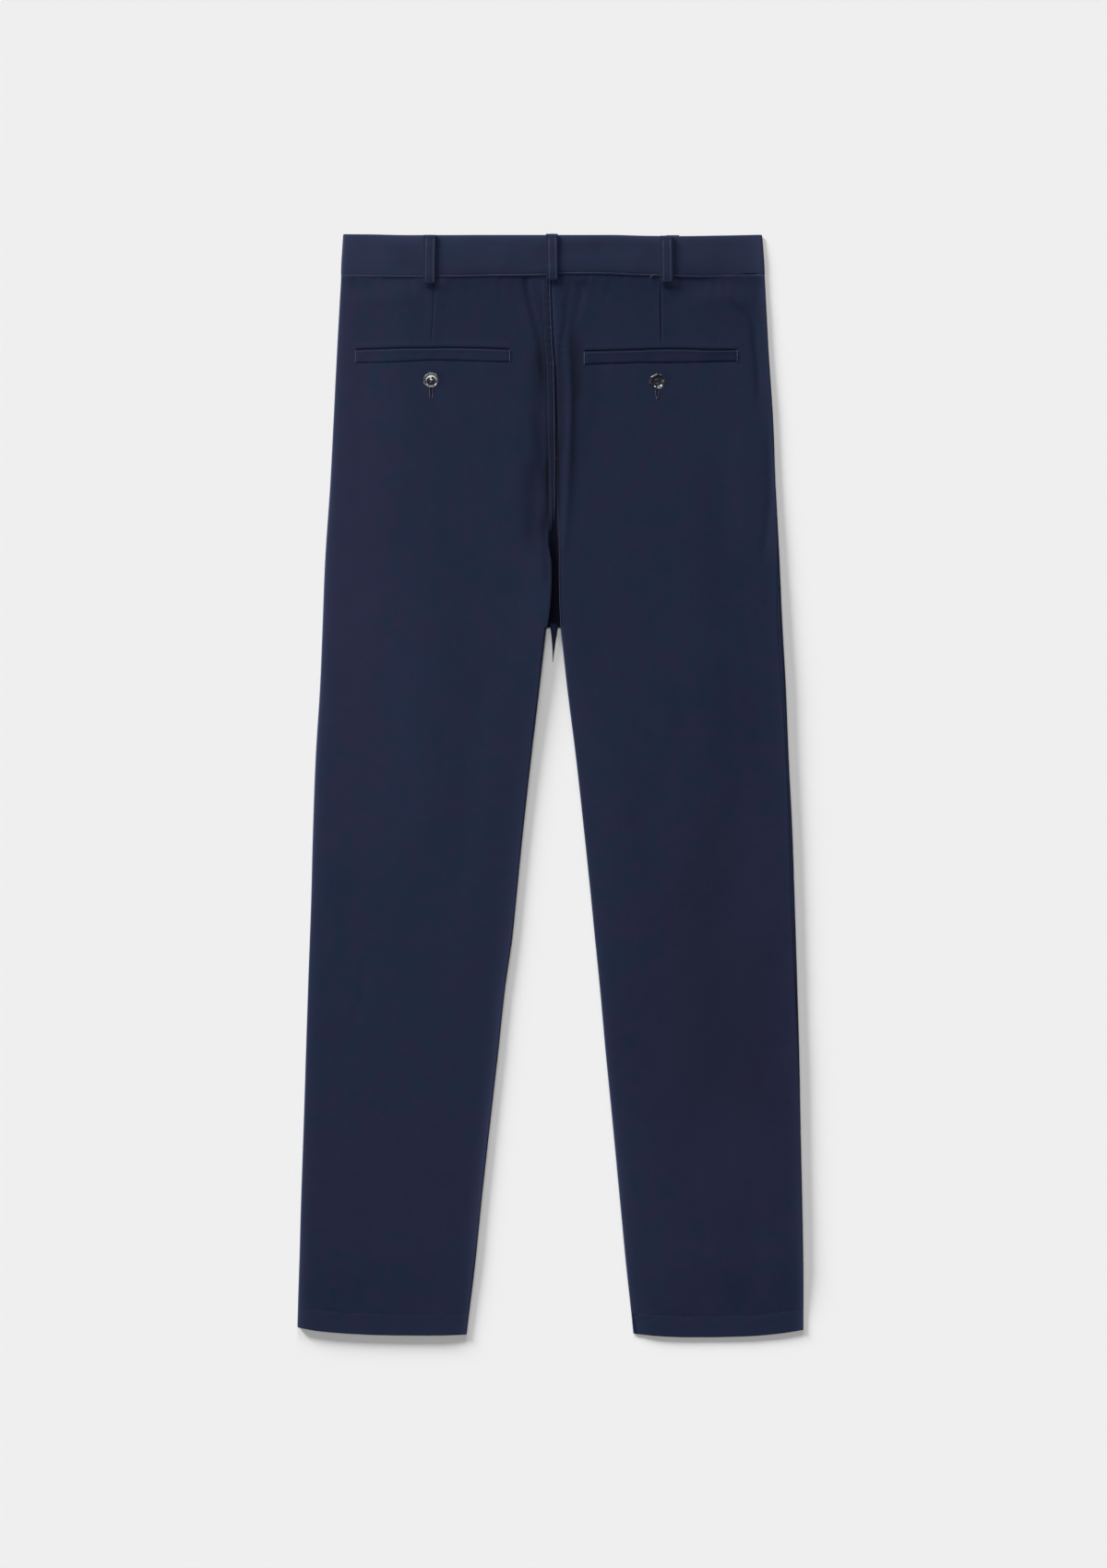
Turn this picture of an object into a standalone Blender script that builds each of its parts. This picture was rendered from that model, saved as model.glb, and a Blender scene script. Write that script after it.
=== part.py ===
"""Chino trousers laid flat on their front, with the back up.

The frame has +Y from the hems to the waist, +X to the wearer's right and +Z up. The origin lies
on the floor in the middle of the length and the width. Sizes are in millimetres until a mesh is
made. Left and right are the wearer's, which are also those of someone who looks down at the back.
Each half is a flattened tube, so one section round the half gives both its front and its back
panel, and the panels stop short of each other at the side seam, the inseam and the centre seams.
"""

import math
from typing import NamedTuple

import bpy
import numpy as np

MM = 0.001

# Driving sizes, in millimetres.
SEAM_GAP = 0.3
CLOTH_WALL = 1.2
HEM_WALL = 2.2
HEM_DEPTH = 19.0
WAIST_Y = 520.3
WAIST_SEAM_Y = 480.2
CROTCH_Y = 150.2
CROTCH_LEDGE = 1.2
HEM_Y = -520.3

BAND_WALL = 1.8
BAND_FRONT_Z = 2.9
BAND_BACK_Z = 8.0
BAND_LAP_X = 24.0
BAND_STEP = 0.6
FRONT_SINK_Y = 447.0
CENTRE_SWELL = 24.0
INNER_ROUND = 3.4
VALLEY_ROUNDNESS = 2.8

LOOP_WIDTH = 12.0
LOOP_WALL = 1.6
LOOP_ARCH = 0.9

WELT_HEIGHT = 12.6
WELT_LIP = 0.25

POCKET_MOUTH_FOOT_Y = 280.0
POCKET_MOUTH_HEAD_Y = 462.0
POCKET_MOUTH_WIDTH = 2.0

BUTTON_HOLE_PITCH = 3.6
BUTTON_HOLE_DIAMETER = 1.9


class Side(NamedTuple):
    """Where the two side edges run at one distance up the garment."""

    y: float
    left: float
    right: float


class Inseam(NamedTuple):
    """Where the two legs' inner edges run under the crotch."""

    y: float
    left: float
    right: float


class Height(NamedTuple):
    """Heights of the upper face: over the body, by the centre or inner edge, and on the seam."""

    y: float
    body: float
    lip: float
    seam: float
    valley: float


class Centre(NamedTuple):
    """Where the centre back seam and the centre front edge run above the crotch."""

    y: float
    back: float
    front: float


class Wrap(NamedTuple):
    """How far the front panel comes round the side edge onto the back, along the cloth."""

    y: float
    left: float
    right: float


class Hem(NamedTuple):
    """How far the hem's edge lies above the lowest point, from the inner edge (0) to the outer."""

    y: float
    left: float
    right: float


class Fold(NamedTuple):
    """A crease in a back panel: three points on its line, its rise and its half width."""

    start: tuple
    middle: tuple
    end: tuple
    rise: float
    half_width: float


class Strap(NamedTuple):
    """A belt loop: its node, centre line, upper and lower ends, and whether it is on the back."""

    node: str
    x: float
    top: float
    bottom: float
    on_back: bool


class Welt(NamedTuple):
    """A back pocket's welt: its node, its two ends and its lower edge."""

    node: str
    side: int
    inner: float
    outer: float
    bottom: float


class Button(NamedTuple):
    """A sewn button: its node, centre, diameter, thickness and whether it is on the back."""

    node: str
    x: float
    y: float
    diameter: float
    thickness: float
    on_back: bool


SIDES = (
    Side(520.3, -194.6, 198.9),
    Side(480.2, -197.5, 201.8),
    Side(406.3, -201.0, 205.3),
    Side(345.4, -204.2, 209.2),
    Side(288.8, -207.1, 211.0),
    Side(210.5, -212.3, 215.8),
    Side(149.6, -214.6, 218.4),
    Side(97.4, -216.7, 221.8),
    Side(27.8, -221.0, 224.5),
    Side(-41.8, -223.6, 227.9),
    Side(-111.4, -225.4, 230.5),
    Side(-181.0, -227.9, 232.3),
    Side(-250.6, -230.2, 234.0),
    Side(-320.2, -232.4, 235.8),
    Side(-389.8, -234.8, 237.4),
    Side(-459.4, -236.7, 238.3),
    Side(-520.3, -238.4, 238.4),
)

INSEAMS = (
    Inseam(150.2, -4.2, 9.4),
    Inseam(132.2, -6.1, 11.3),
    Inseam(97.4, -9.6, 15.7),
    Inseam(27.8, -18.2, 24.3),
    Inseam(-41.8, -26.0, 32.0),
    Inseam(-111.4, -33.1, 39.2),
    Inseam(-146.2, -36.6, 42.6),
    Inseam(-181.0, -41.7, 46.1),
    Inseam(-250.6, -49.6, 52.4),
    Inseam(-320.2, -57.4, 59.2),
    Inseam(-389.8, -65.2, 65.8),
    Inseam(-459.4, -72.3, 72.4),
    Inseam(-520.3, -80.2, 78.5),
)

HEIGHTS = (
    Height(480.2, 7.4, 7.4, 7.3, 9.0),
    Height(450.0, 6.4, 6.8, 6.5, 9.0),
    Height(400.0, 6.2, 6.7, 6.2, 8.0),
    Height(340.0, 6.1, 6.8, 6.1, 7.0),
    Height(290.0, 6.1, 7.0, 6.1, 6.0),
    Height(252.0, 6.1, 7.3, 5.8, 5.0),
    Height(228.0, 6.1, 7.5, 4.2, 4.6),
    Height(205.0, 6.1, 7.6, 3.0, 5.6),
    Height(150.0, 6.0, 7.6, 2.8, 7.4),
    Height(100.0, 5.9, 7.0, 2.8, 7.4),
    Height(40.0, 5.8, 6.2, 2.8, 7.4),
    Height(-30.0, 5.6, 5.6, 2.8, 7.4),
    Height(-250.0, 5.5, 5.5, 2.8, 7.4),
    Height(-520.3, 5.4, 5.4, 2.8, 7.4),
)

CENTRES = (
    Centre(480.2, 1.6, 8.0),
    Centre(397.0, 4.6, 8.0),
    Centre(330.0, 5.4, 8.0),
    Centre(284.0, 5.4, 4.0),
    Centre(240.0, 3.4, 2.6),
    Centre(150.0, 2.6, 2.6),
)

WRAPS = (
    Wrap(520.3, 0.0, 0.0),
    Wrap(300.0, 0.0, 0.0),
    Wrap(232.0, 0.0, 2.4),
    Wrap(160.0, 0.0, 7.6),
    Wrap(38.0, 0.0, 4.8),
    Wrap(-108.0, 0.0, 5.8),
    Wrap(-239.0, 0.0, 3.4),
    Wrap(-330.0, 0.0, 0.6),
    Wrap(-520.3, 0.0, 0.0),
)

# The first column is the share of the way from a leg's inner edge to its outer edge.
HEMS = (
    Hem(0.0, 3.5, 3.4),
    Hem(0.12, 2.9, 1.4),
    Hem(0.30, 2.7, 0.0),
    Hem(0.56, 2.8, 0.3),
    Hem(0.75, 4.4, 1.7),
    Hem(0.90, 6.6, 4.4),
    Hem(1.0, 9.6, 7.0),
)

FOLDS = (
    Fold((-23.5, 478.0), (-14.5, 436.0), (-7.8, 384.5), -0.8, 6.0),
    Fold((-6.1, 306.0), (-19.1, 282.0), (-27.0, 226.0), -0.8, 7.0),
    Fold((17.4, 440.0), (16.0, 330.0), (11.0, 232.0), 1.0, 7.0),
    Fold((32.2, 479.0), (25.0, 410.0), (23.5, 328.0), -0.7, 6.0),
)

STRAPS = (
    Strap("belt_loop_back_left", -114.5, 519.6, 474.4, True),
    Strap("belt_loop_back_centre", 1.6, 519.9, 477.4, True),
    Strap("belt_loop_back_right", 108.9, 519.2, 475.0, True),
    Strap("belt_loop_front_left", -108.0, 519.6, 475.0, False),
    Strap("belt_loop_front_right", 116.0, 519.6, 475.0, False),
)

WELTS = (
    Welt("pocket_welt_left", -1, -38.3, -183.6, 400.2),
    Welt("pocket_welt_right", 1, 31.3, 174.9, 400.2),
)

BUTTONS = (
    Button("pocket_button_left", -114.0, 383.7, 15.0, 3.0, True),
    Button("pocket_button_right", 99.7, 381.7, 15.0, 3.0, True),
    Button("waist_button", 13.0, 500.2, 17.0, 2.6, False),
)

# Where the sections stand: close together over the seat and the crotch, far apart down the legs.
PANEL_ROWS = (
    WAIST_SEAM_Y - SEAM_GAP, 470.0, 458.0, FRONT_SINK_Y, 434.0, 414.0, 390.0, 362.0, 334.0,
    308.0, 284.0, 262.0, 246.0, 232.0, 218.0, 200.0, 176.0, 154.0, CROTCH_Y,
    CROTCH_Y - CROTCH_LEDGE, 134.0, 104.0, 60.0, 10.0, -50.0, -110.0, -165.0, -230.0, -300.0, -370.0,
    -440.0, HEM_Y + HEM_DEPTH + 2.0, HEM_Y + HEM_DEPTH, HEM_Y,
)

# Shares of the way from the side's round edge to the centre, closest where the folds are.
BODY_SHARES = (0.22, 0.45, 0.62, 0.73, 0.80, 0.855, 0.90, 0.935, 0.965, 1.0)


def smoothstep(t):
    """A soft ramp from 0 to 1 as t goes from 0 to 1."""
    t = np.clip(t, 0.0, 1.0)
    return t * t * (3.0 - 2.0 * t)


def along(table, column, at):
    """The smooth line through one column of a table, at one or more places of its first column."""
    place = np.array([row.y for row in table], float)
    value = np.array([getattr(row, column) for row in table], float)
    if place[0] > place[-1]:
        place, value = place[::-1], value[::-1]
    slope = np.gradient(value, place)
    at = np.clip(at, place[0], place[-1])
    i = np.clip(np.searchsorted(place, at) - 1, 0, len(place) - 2)
    width = place[i + 1] - place[i]
    t = (at - place[i]) / width
    rise = 3.0 * t**2 - 2.0 * t**3
    return (
        value[i] * (1.0 - rise)
        + value[i + 1] * rise
        + slope[i] * width * (t**3 - 2.0 * t**2 + t)
        + slope[i + 1] * width * (t**3 - t**2)
    )


def fold_line(fold, count=24):
    """Points along a fold's curve, which passes through its three named points."""
    t = np.linspace(0.0, 1.0, count)[:, None]
    start, middle, end = (np.array(p, float) for p in (fold.start, fold.middle, fold.end))
    control = 2.0 * middle - 0.5 * (start + end)
    return (1 - t) ** 2 * start + 2 * t * (1 - t) * control + t**2 * end


def fold_rise(x, y):
    """How far the folds lift or sink the upper face at a place, fading out at their ends."""
    place = np.stack([x, np.broadcast_to(y, x.shape)], axis=-1)
    total = np.zeros_like(x)
    for fold in FOLDS:
        line = fold_line(fold)
        far = np.linalg.norm(place[..., None, :] - line, axis=-1)
        nearest = far.argmin(axis=-1)
        share = nearest / (len(line) - 1)
        fade = np.sin(math.pi * np.clip(share * 0.9 + 0.05, 0.0, 1.0)) ** 0.5
        total += fold.rise * fade * np.exp(-((far.min(axis=-1) / fold.half_width) ** 2))
    return total


def side_name(side):
    return "left" if side < 0 else "right"


def outer_edge(side, y):
    """Distance of the side edge from the middle line, measured towards that side."""
    return side * along(SIDES, side_name(side), y)


def inner_edge(side, y):
    """The leg's inner edge under the crotch, or the centre back seam above it."""
    if y < CROTCH_Y:
        return side * along(INSEAMS, side_name(side), y)
    return side * along(CENTRES, "back", y) + SEAM_GAP / 2


def front_height(y):
    """The front panels lie on the floor, and rise under the waistband by what lies below that."""
    share = (y - FRONT_SINK_Y) / (WAIST_SEAM_Y - FRONT_SINK_Y)
    return (BAND_FRONT_Z + BAND_STEP) * smoothstep(share)


def top_height(side, out, y):
    """Height of the upper face over a place of one half, before its edges are rounded off.

    out is the distance from the middle line, measured towards that side.
    """
    body, lip = along(HEIGHTS, "body", y), along(HEIGHTS, "lip", y)
    from_inner = np.maximum(out - inner_edge(side, y), 0.0)
    swell = (lip - body) * np.exp(-((from_inner / CENTRE_SWELL) ** 2))
    return body + swell + fold_rise(side * out, y)


class Section(NamedTuple):
    """The outer face of one half at one distance up: points and the lengths to its landmarks."""

    length: np.ndarray
    line: np.ndarray
    normal: np.ndarray
    floor_start: float
    floor_end: float
    edge: float
    flank: float
    inner: float
    end: float


def half_section(side, y):
    """The line round one half from the centre front or the inseam, by the side, to the back.

    Both ends of a leg's section are at the inseam, half way up its inner edge. Above the crotch
    the lower end is at the centre front on the floor, and the upper end is the centre back seam,
    at the foot of the valley that deepens towards the crotch.
    """
    in_leg = y < CROTCH_Y
    floor = float(front_height(y))
    outer, inner = float(outer_edge(side, y)), float(inner_edge(side, y))
    side_top = float(top_height(side, np.array([outer - 4.0]), y)[0])
    radius = (side_top - floor) / 2
    quarter = np.linspace(0.0, math.pi / 2, 9)
    lip = float(top_height(side, np.array([inner + INNER_ROUND]), y)[0])

    if in_leg:
        start_out = inner + INNER_ROUND * (1 - np.cos(quarter))
        start_z = lip / 2 * (1 - np.sin(quarter))
    else:
        front = side * along(CENTRES, "front", y) + SEAM_GAP / 2
        start_out = np.linspace(front, front + INNER_ROUND, 3)
        start_z = np.full(3, floor)
    round_angle = np.linspace(-math.pi / 2, math.pi / 2, 25)
    round_out = outer - radius + radius * np.cos(round_angle)
    round_z = floor + radius + radius * np.sin(round_angle)

    reach = INNER_ROUND if in_leg else float(along(HEIGHTS, "valley", y))
    body_out = np.linspace(outer - radius, inner + reach, 80)[1:]
    body_z = top_height(side, body_out, y)
    settle = smoothstep((outer - radius - body_out) / 12.0)
    body_z = side_top + (body_z - side_top) * settle
    if in_leg:
        end_out = inner + INNER_ROUND * (1 - np.cos(quarter[::-1][1:]))
        end_z = lip / 2 + (body_z[-1] - lip / 2) * np.sin(quarter[::-1][1:])
    else:
        seam = float(along(HEIGHTS, "seam", y))
        share = np.linspace(1.0, 0.0, 12)[1:]
        end_out = inner + reach * share
        end_z = seam + (body_z[-1] - seam) * (1.0 - (1.0 - share) ** VALLEY_ROUNDNESS)

    parts_out = (start_out, round_out, body_out, end_out)
    parts_z = (start_z, round_z, body_z, end_z)
    line = np.stack([np.concatenate(parts_out), np.concatenate(parts_z)], axis=-1)
    step = np.linalg.norm(np.diff(line, axis=0), axis=-1)
    length = np.concatenate([[0.0], np.cumsum(step)])
    tangent = np.gradient(line, length, axis=0)
    if in_leg:
        tangent[0], tangent[-1] = (0.0, -1.0), (0.0, -1.0)
    ends = np.cumsum([len(part) for part in parts_out])
    return Section(
        length=length,
        line=line,
        normal=np.stack([tangent[:, 1], -tangent[:, 0]], axis=-1),
        floor_start=length[ends[0] - 1],
        floor_end=length[ends[0]],
        edge=length[ends[0] + 12],
        flank=length[ends[1] - 1],
        inner=length[ends[2] - 1],
        end=length[-1],
    )


def side_seam(section, side, y):
    """Length round the section to the side seam, which may lie up on the back's side."""
    return section.edge + float(along(WRAPS, side_name(side), y))


def mouth_share(y):
    """1 along the side pocket's mouth in the side seam, fading to 0 at its two ends."""
    head = smoothstep((POCKET_MOUTH_HEAD_Y - y) / 8.0)
    foot = smoothstep((y - POCKET_MOUTH_FOOT_Y) / 8.0)
    return float(head * foot)


def back_lengths(section, side, y):
    """Where a back panel's columns lie, from the side seam to the centre seam or the inseam."""
    start = side_seam(section, side, y) + SEAM_GAP / 2
    flank = max(section.flank, start + 2.5)
    body = flank + (section.inner - flank) * np.array(BODY_SHARES)
    inner = np.linspace(section.inner, section.end - (SEAM_GAP / 2 if y < CROTCH_Y else 0), 6)
    return np.concatenate([np.linspace(start, flank, 5), body, inner[1:]])


def front_lengths(section, side, y):
    """Where a front panel's columns lie, from the centre front or the inseam to the side seam."""
    end = side_seam(section, side, y) - SEAM_GAP / 2 - POCKET_MOUTH_WIDTH * mouth_share(y)
    start = SEAM_GAP / 2 if y < CROTCH_Y else 0.0
    inner = np.linspace(start, section.floor_start, 4)
    floor = np.linspace(section.floor_start, section.floor_end, 4)
    return np.concatenate([inner, floor[1:], np.linspace(section.floor_end, end, 6)[1:]])


def bent_to_hem(side, out, y):
    """The distance up of a row's points, whose lowest rows follow the hem's curved edge."""
    inner, outer = float(inner_edge(side, y)), float(outer_edge(side, y))
    share = (out - inner) / (outer - inner)
    lift = np.maximum(along(HEMS, side_name(side), np.clip(share, 0.0, 1.0)), 0.0)
    return y + lift * smoothstep((-440.0 - y) / (-440.0 - HEM_Y - HEM_DEPTH))


def at_lengths(section, values, lengths):
    """One pair of values for each length round a section."""
    return np.stack([np.interp(lengths, section.length, values[:, i]) for i in (0, 1)], axis=-1)


def panel_faces(side, lengths_of):
    """Rows of points on a panel's outer and inner face, from the waist seam to the hem.

    The cloth is twice as thick over the hem, where it is turned up inside.
    """
    outer_rows, inner_rows = [], []
    for y in PANEL_ROWS:
        section = half_section(side, y)
        lengths = lengths_of(section, side, y)
        face = at_lengths(section, section.line, lengths)
        normal = at_lengths(section, section.normal, lengths)
        normal /= np.linalg.norm(normal, axis=-1, keepdims=True)
        wall = HEM_WALL if y <= HEM_Y + HEM_DEPTH else CLOTH_WALL
        up = bent_to_hem(side, face[:, 0], y)
        for rows, line in ((outer_rows, face), (inner_rows, face - wall * normal)):
            rows.append(np.stack([side * line[:, 0], up, line[:, 1]], axis=-1))
    return np.array(outer_rows), np.array(inner_rows)


def make_material(name, colour, roughness, coat=0.0):
    material = bpy.data.materials.new(name)
    material.use_nodes = True
    shader = material.node_tree.nodes["Principled BSDF"]
    shader.inputs["Base Color"].default_value = (*colour, 1.0)
    shader.inputs["Roughness"].default_value = roughness
    shader.inputs["Metallic"].default_value = 0.0
    shader.inputs["Coat Weight"].default_value = coat
    return material


def add_object(name, vertices, faces, material, smooth_angle=40.0):
    """A mesh object in metres, from points in millimetres."""
    mesh = bpy.data.meshes.new(name)
    mesh.from_pydata([tuple(point) for point in np.asarray(vertices) * MM], [], faces)
    mesh.materials.append(material)
    mesh.shade_smooth()
    mesh.set_sharp_from_angle(angle=math.radians(smooth_angle))
    item = bpy.data.objects.new(name, mesh)
    bpy.context.scene.collection.objects.link(item)
    return item


def add_cloth(name, outer, inner, material, flip=False):
    """A piece of cloth between an outer and an inner grid of points, closed round its edges."""
    rows, columns = outer.shape[:2]
    last = rows * columns

    def at(r, c, layer):
        return layer * last + r * columns + c

    rim = [(0, c) for c in range(columns)]
    rim += [(r, columns - 1) for r in range(1, rows)]
    rim += [(rows - 1, c) for c in range(columns - 2, -1, -1)]
    rim += [(r, 0) for r in range(rows - 2, 0, -1)]
    faces = []
    for r in range(rows - 1):
        for c in range(columns - 1):
            corners = ((r, c), (r, c + 1), (r + 1, c + 1), (r + 1, c))
            faces.append([at(*corner, 0) for corner in corners])
            faces.append([at(*corner, 1) for corner in reversed(corners)])
    for here, there in zip(rim, rim[1:] + rim[:1]):
        faces.append([at(*here, 1), at(*there, 1), at(*there, 0), at(*here, 0)])
    if flip:
        faces = [face[::-1] for face in faces]
    points = np.concatenate([outer.reshape(-1, 3), inner.reshape(-1, 3)])
    return add_object(name, points, faces, material)


def make_panels(twill):
    """The four panels: each leg's back and front run from the waist seam to the hem."""
    for side in (-1, 1):
        for part, lengths_of in (("back", back_lengths), ("front", front_lengths)):
            outer, inner = panel_faces(side, lengths_of)
            add_cloth(f"{part}_{side_name(side)}", outer, inner, twill, flip=side < 0)


def band_row(side, y, wall):
    """Points round one half of the waistband at one distance up, the wall's depth inside it."""
    radius = (BAND_BACK_Z - BAND_FRONT_Z) / 2
    angle = np.linspace(-math.pi / 2, math.pi / 2, 9)
    flank = float(outer_edge(side, y)) - radius
    front_end = side * BAND_LAP_X + SEAM_GAP / 2
    back_end = side * float(along(CENTRES, "back", y)) + SEAM_GAP / 2
    out = np.concatenate([
        np.linspace(front_end, flank, 7)[:-1],
        flank + (radius - wall) * np.cos(angle),
        np.linspace(flank, back_end, 7)[1:],
    ])
    z = np.concatenate([
        np.full(6, BAND_FRONT_Z + wall),
        BAND_FRONT_Z + radius + (radius - wall) * np.sin(angle),
        np.full(6, BAND_BACK_Z - wall),
    ])
    return np.stack([side * out, np.full(len(out), y), z], axis=-1)


def make_waistbands(band_twill):
    """Two halves, each from the centre back round the side to its end at the front.

    The left end laps past the middle at the front, where the button closes it.
    """
    levels = (WAIST_Y, (WAIST_Y + WAIST_SEAM_Y) / 2, WAIST_SEAM_Y)
    for side in (-1, 1):
        outer, inner = (
            np.array([band_row(side, y, wall) for y in levels]) for wall in (0.0, BAND_WALL)
        )
        add_cloth(f"waistband_{side_name(side)}", outer, inner, band_twill, flip=side < 0)


def strap_lift(share):
    """Height of a belt loop's inner face over its seat: sewn down at both ends, arched between."""
    return SEAM_GAP + LOOP_ARCH * smoothstep(share / 0.22) * smoothstep((1.0 - share) / 0.22)


def make_straps(band_twill):
    """The belt loops: flat straps over the band, with room for a belt behind the middle."""
    share = np.linspace(0.0, 1.0, 11)
    for strap in STRAPS:
        y = strap.top + (strap.bottom - strap.top) * share
        lift = strap_lift(share)
        if strap.on_back:
            inner_z = BAND_BACK_Z + lift
            outer_z = inner_z + LOOP_WALL
        else:
            # The floor side's outer face is flat, and its ends are turned under to meet the band.
            inner_z = BAND_FRONT_Z - lift
            outer_z = np.zeros(len(share))
        outer, inner = (
            np.array([
                [(strap.x + across * LOOP_WIDTH / 2, y[i], z[i]) for across in (-1.0, 0.0, 1.0)]
                for i in range(len(share))
            ])
            for z in (outer_z, inner_z)
        )
        add_cloth(strap.node, outer, inner, band_twill, flip=strap.on_back)


def make_welts(twill):
    """The welts lie on the back panels, just off their faces, with a lifted upper lip."""
    for welt in WELTS:
        x = np.linspace(welt.inner, welt.outer, 12)
        rows = []
        for share, lip in ((1.0, 0.0), (0.9, WELT_LIP), (0.5, WELT_LIP / 2), (0.0, 0.0)):
            y = welt.bottom + WELT_HEIGHT * share
            z = top_height(welt.side, welt.side * x, y) + SEAM_GAP + CLOTH_WALL + lip
            rows.append(np.stack([x, np.full(len(x), y), z], axis=-1))
        outer = np.array(rows)
        inner = outer - np.array([0.0, 0.0, CLOTH_WALL])
        add_cloth(welt.node, outer, inner, twill, flip=welt.side > 0)


def button_profile(diameter, thickness):
    """Half of a button's section, as (radius, height) from the middle of its face to its foot."""
    radius = diameter / 2
    return (
        (0.0, 0.52 * thickness),
        (0.52 * radius, 0.56 * thickness),
        (0.64 * radius, 0.80 * thickness),
        (0.74 * radius, 0.97 * thickness),
        (0.86 * radius, thickness),
        (0.96 * radius, 0.84 * thickness),
        (radius, 0.55 * thickness),
        (0.93 * radius, 0.22 * thickness),
        (0.72 * radius, 0.0),
        (0.0, 0.0),
    )


def make_hole_cutter(name, location, turn, thickness, material):
    """Four rods that cut a button's holes."""
    vertices, faces = [], []
    sides = 10
    for quarter in range(4):
        angle = math.radians(45 + 90 * quarter)
        centre = np.array([math.cos(angle), math.sin(angle)]) * BUTTON_HOLE_PITCH / math.sqrt(2)
        first = len(vertices)
        for z in (-thickness, 2 * thickness):
            for i in range(sides):
                a = 2 * math.pi * i / sides
                ring = np.array([math.cos(a), math.sin(a)]) * BUTTON_HOLE_DIAMETER / 2
                vertices.append((*(centre + ring), z))
        faces.append([first + i for i in reversed(range(sides))])
        faces.append([first + sides + i for i in range(sides)])
        for i in range(sides):
            j = (i + 1) % sides
            faces.append([first + i, first + j, first + sides + j, first + sides + i])
    cutter = add_object(name, vertices, faces, material)
    cutter.location = location
    cutter.rotation_euler = turn
    cutter.hide_render = True
    cutter.display_type = "WIRE"
    return cutter


def make_buttons(resin):
    """Four-hole buttons with a raised rim and a dished middle, just off the cloth they close."""
    for button in BUTTONS:
        side = -1 if button.x < 0 else 1
        if button.on_back:
            seat = float(top_height(side, np.array([side * button.x]), button.y)[0]) + SEAM_GAP
            turn = (0.0, 0.0, 0.0)
        else:
            seat = BAND_FRONT_Z - SEAM_GAP
            turn = (math.pi, 0.0, 0.0)
        location = (button.x * MM, button.y * MM, seat * MM)
        profile = [(r, 0.0, z) for r, z in button_profile(button.diameter, button.thickness)]
        mesh = bpy.data.meshes.new(button.node)
        edges = [(i, i + 1) for i in range(len(profile) - 1)]
        mesh.from_pydata((np.array(profile) * MM).tolist(), edges, [])
        mesh.materials.append(resin)
        item = bpy.data.objects.new(button.node, mesh)
        bpy.context.scene.collection.objects.link(item)
        item.location = location
        item.rotation_euler = turn
        screw = item.modifiers.new("turned", "SCREW")
        screw.axis = "Z"
        screw.angle = math.tau
        screw.steps = screw.render_steps = 24
        screw.use_merge_vertices = True
        screw.merge_threshold = 0.00001
        screw.use_smooth_shade = True
        cut = item.modifiers.new("thread holes", "BOOLEAN")
        cut.operation = "DIFFERENCE"
        cut.solver = "EXACT"
        cut.object = make_hole_cutter(
            f"{button.node}_holes", location, turn, button.thickness, resin
        )


def main():
    for item in list(bpy.data.objects):
        bpy.data.objects.remove(item, do_unlink=True)
    twill = make_material("navy twill", (0.018, 0.023, 0.047), 0.85)
    band_twill = make_material("navy band twill", (0.023, 0.028, 0.054), 0.85)
    resin = make_material("navy resin", (0.010, 0.012, 0.022), 0.25, coat=0.4)
    make_panels(twill)
    make_waistbands(band_twill)
    make_straps(band_twill)
    make_welts(twill)
    make_buttons(resin)


main()
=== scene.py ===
"""Chino trousers laid flat with the back up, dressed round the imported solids.

The frame is the solids' own: +Y from the hems to the waist, +X to the wearer's right, +Z up, with
the origin on the floor. Tables and sizes are in millimetres and become metres when a mesh is made.
Each half of the trousers is a flattened tube. A section round it starts at the centre front (or,
down the leg, at the inseam), runs along the floor to the side edge, and comes back over the top to
the centre back seam (or the inseam). "out" is the distance from the middle line towards that side.
"""

from __future__ import annotations

import logging
import math
from dataclasses import dataclass
from enum import Enum
from typing import NamedTuple

import bpy
import numpy as np
from mathutils import Euler, Matrix, Vector


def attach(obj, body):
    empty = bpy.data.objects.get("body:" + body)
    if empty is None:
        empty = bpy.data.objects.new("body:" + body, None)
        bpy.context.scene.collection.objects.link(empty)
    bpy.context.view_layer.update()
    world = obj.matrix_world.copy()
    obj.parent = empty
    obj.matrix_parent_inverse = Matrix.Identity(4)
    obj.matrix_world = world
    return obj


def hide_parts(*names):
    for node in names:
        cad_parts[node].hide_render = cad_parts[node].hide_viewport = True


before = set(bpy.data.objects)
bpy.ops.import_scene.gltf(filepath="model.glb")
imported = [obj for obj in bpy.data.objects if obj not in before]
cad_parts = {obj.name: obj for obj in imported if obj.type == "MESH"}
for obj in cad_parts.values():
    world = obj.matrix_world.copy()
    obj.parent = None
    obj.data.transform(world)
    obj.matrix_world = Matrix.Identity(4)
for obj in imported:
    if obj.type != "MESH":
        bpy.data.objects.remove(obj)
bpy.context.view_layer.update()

log = logging.getLogger("chino_trousers")
Array = np.ndarray
Points = tuple[tuple[float, float], ...]

MM = 0.001
TAU = math.tau
WAIST_Y = 520.3
WAIST_SEAM_Y = 480.2
CROTCH_Y = 150.2
HEM_Y = -520.3
HEM_DEPTH = 19.0
SEAM_GAP = 0.08
CLOTH_WALL = 0.9
BAND_FRONT_Z = 2.9
BAND_BACK_Z = 8.0
ACROSS = np.array([1.0, 0.0, 0.0])
ALONG = np.array([0.0, 1.0, 0.0])
UP = np.array([0.0, 0.0, 1.0])


class Half(Enum):
    """The wearer's left or right half, with the sign of its side of the middle line."""

    LEFT = -1
    RIGHT = 1

    @property
    def word(self) -> str:
        """The half's name as the solids spell it."""
        return self.name.lower()


class Face(Enum):
    """The back panels lie on top, the front panels on the floor."""

    BACK = "back"
    FRONT = "front"


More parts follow.
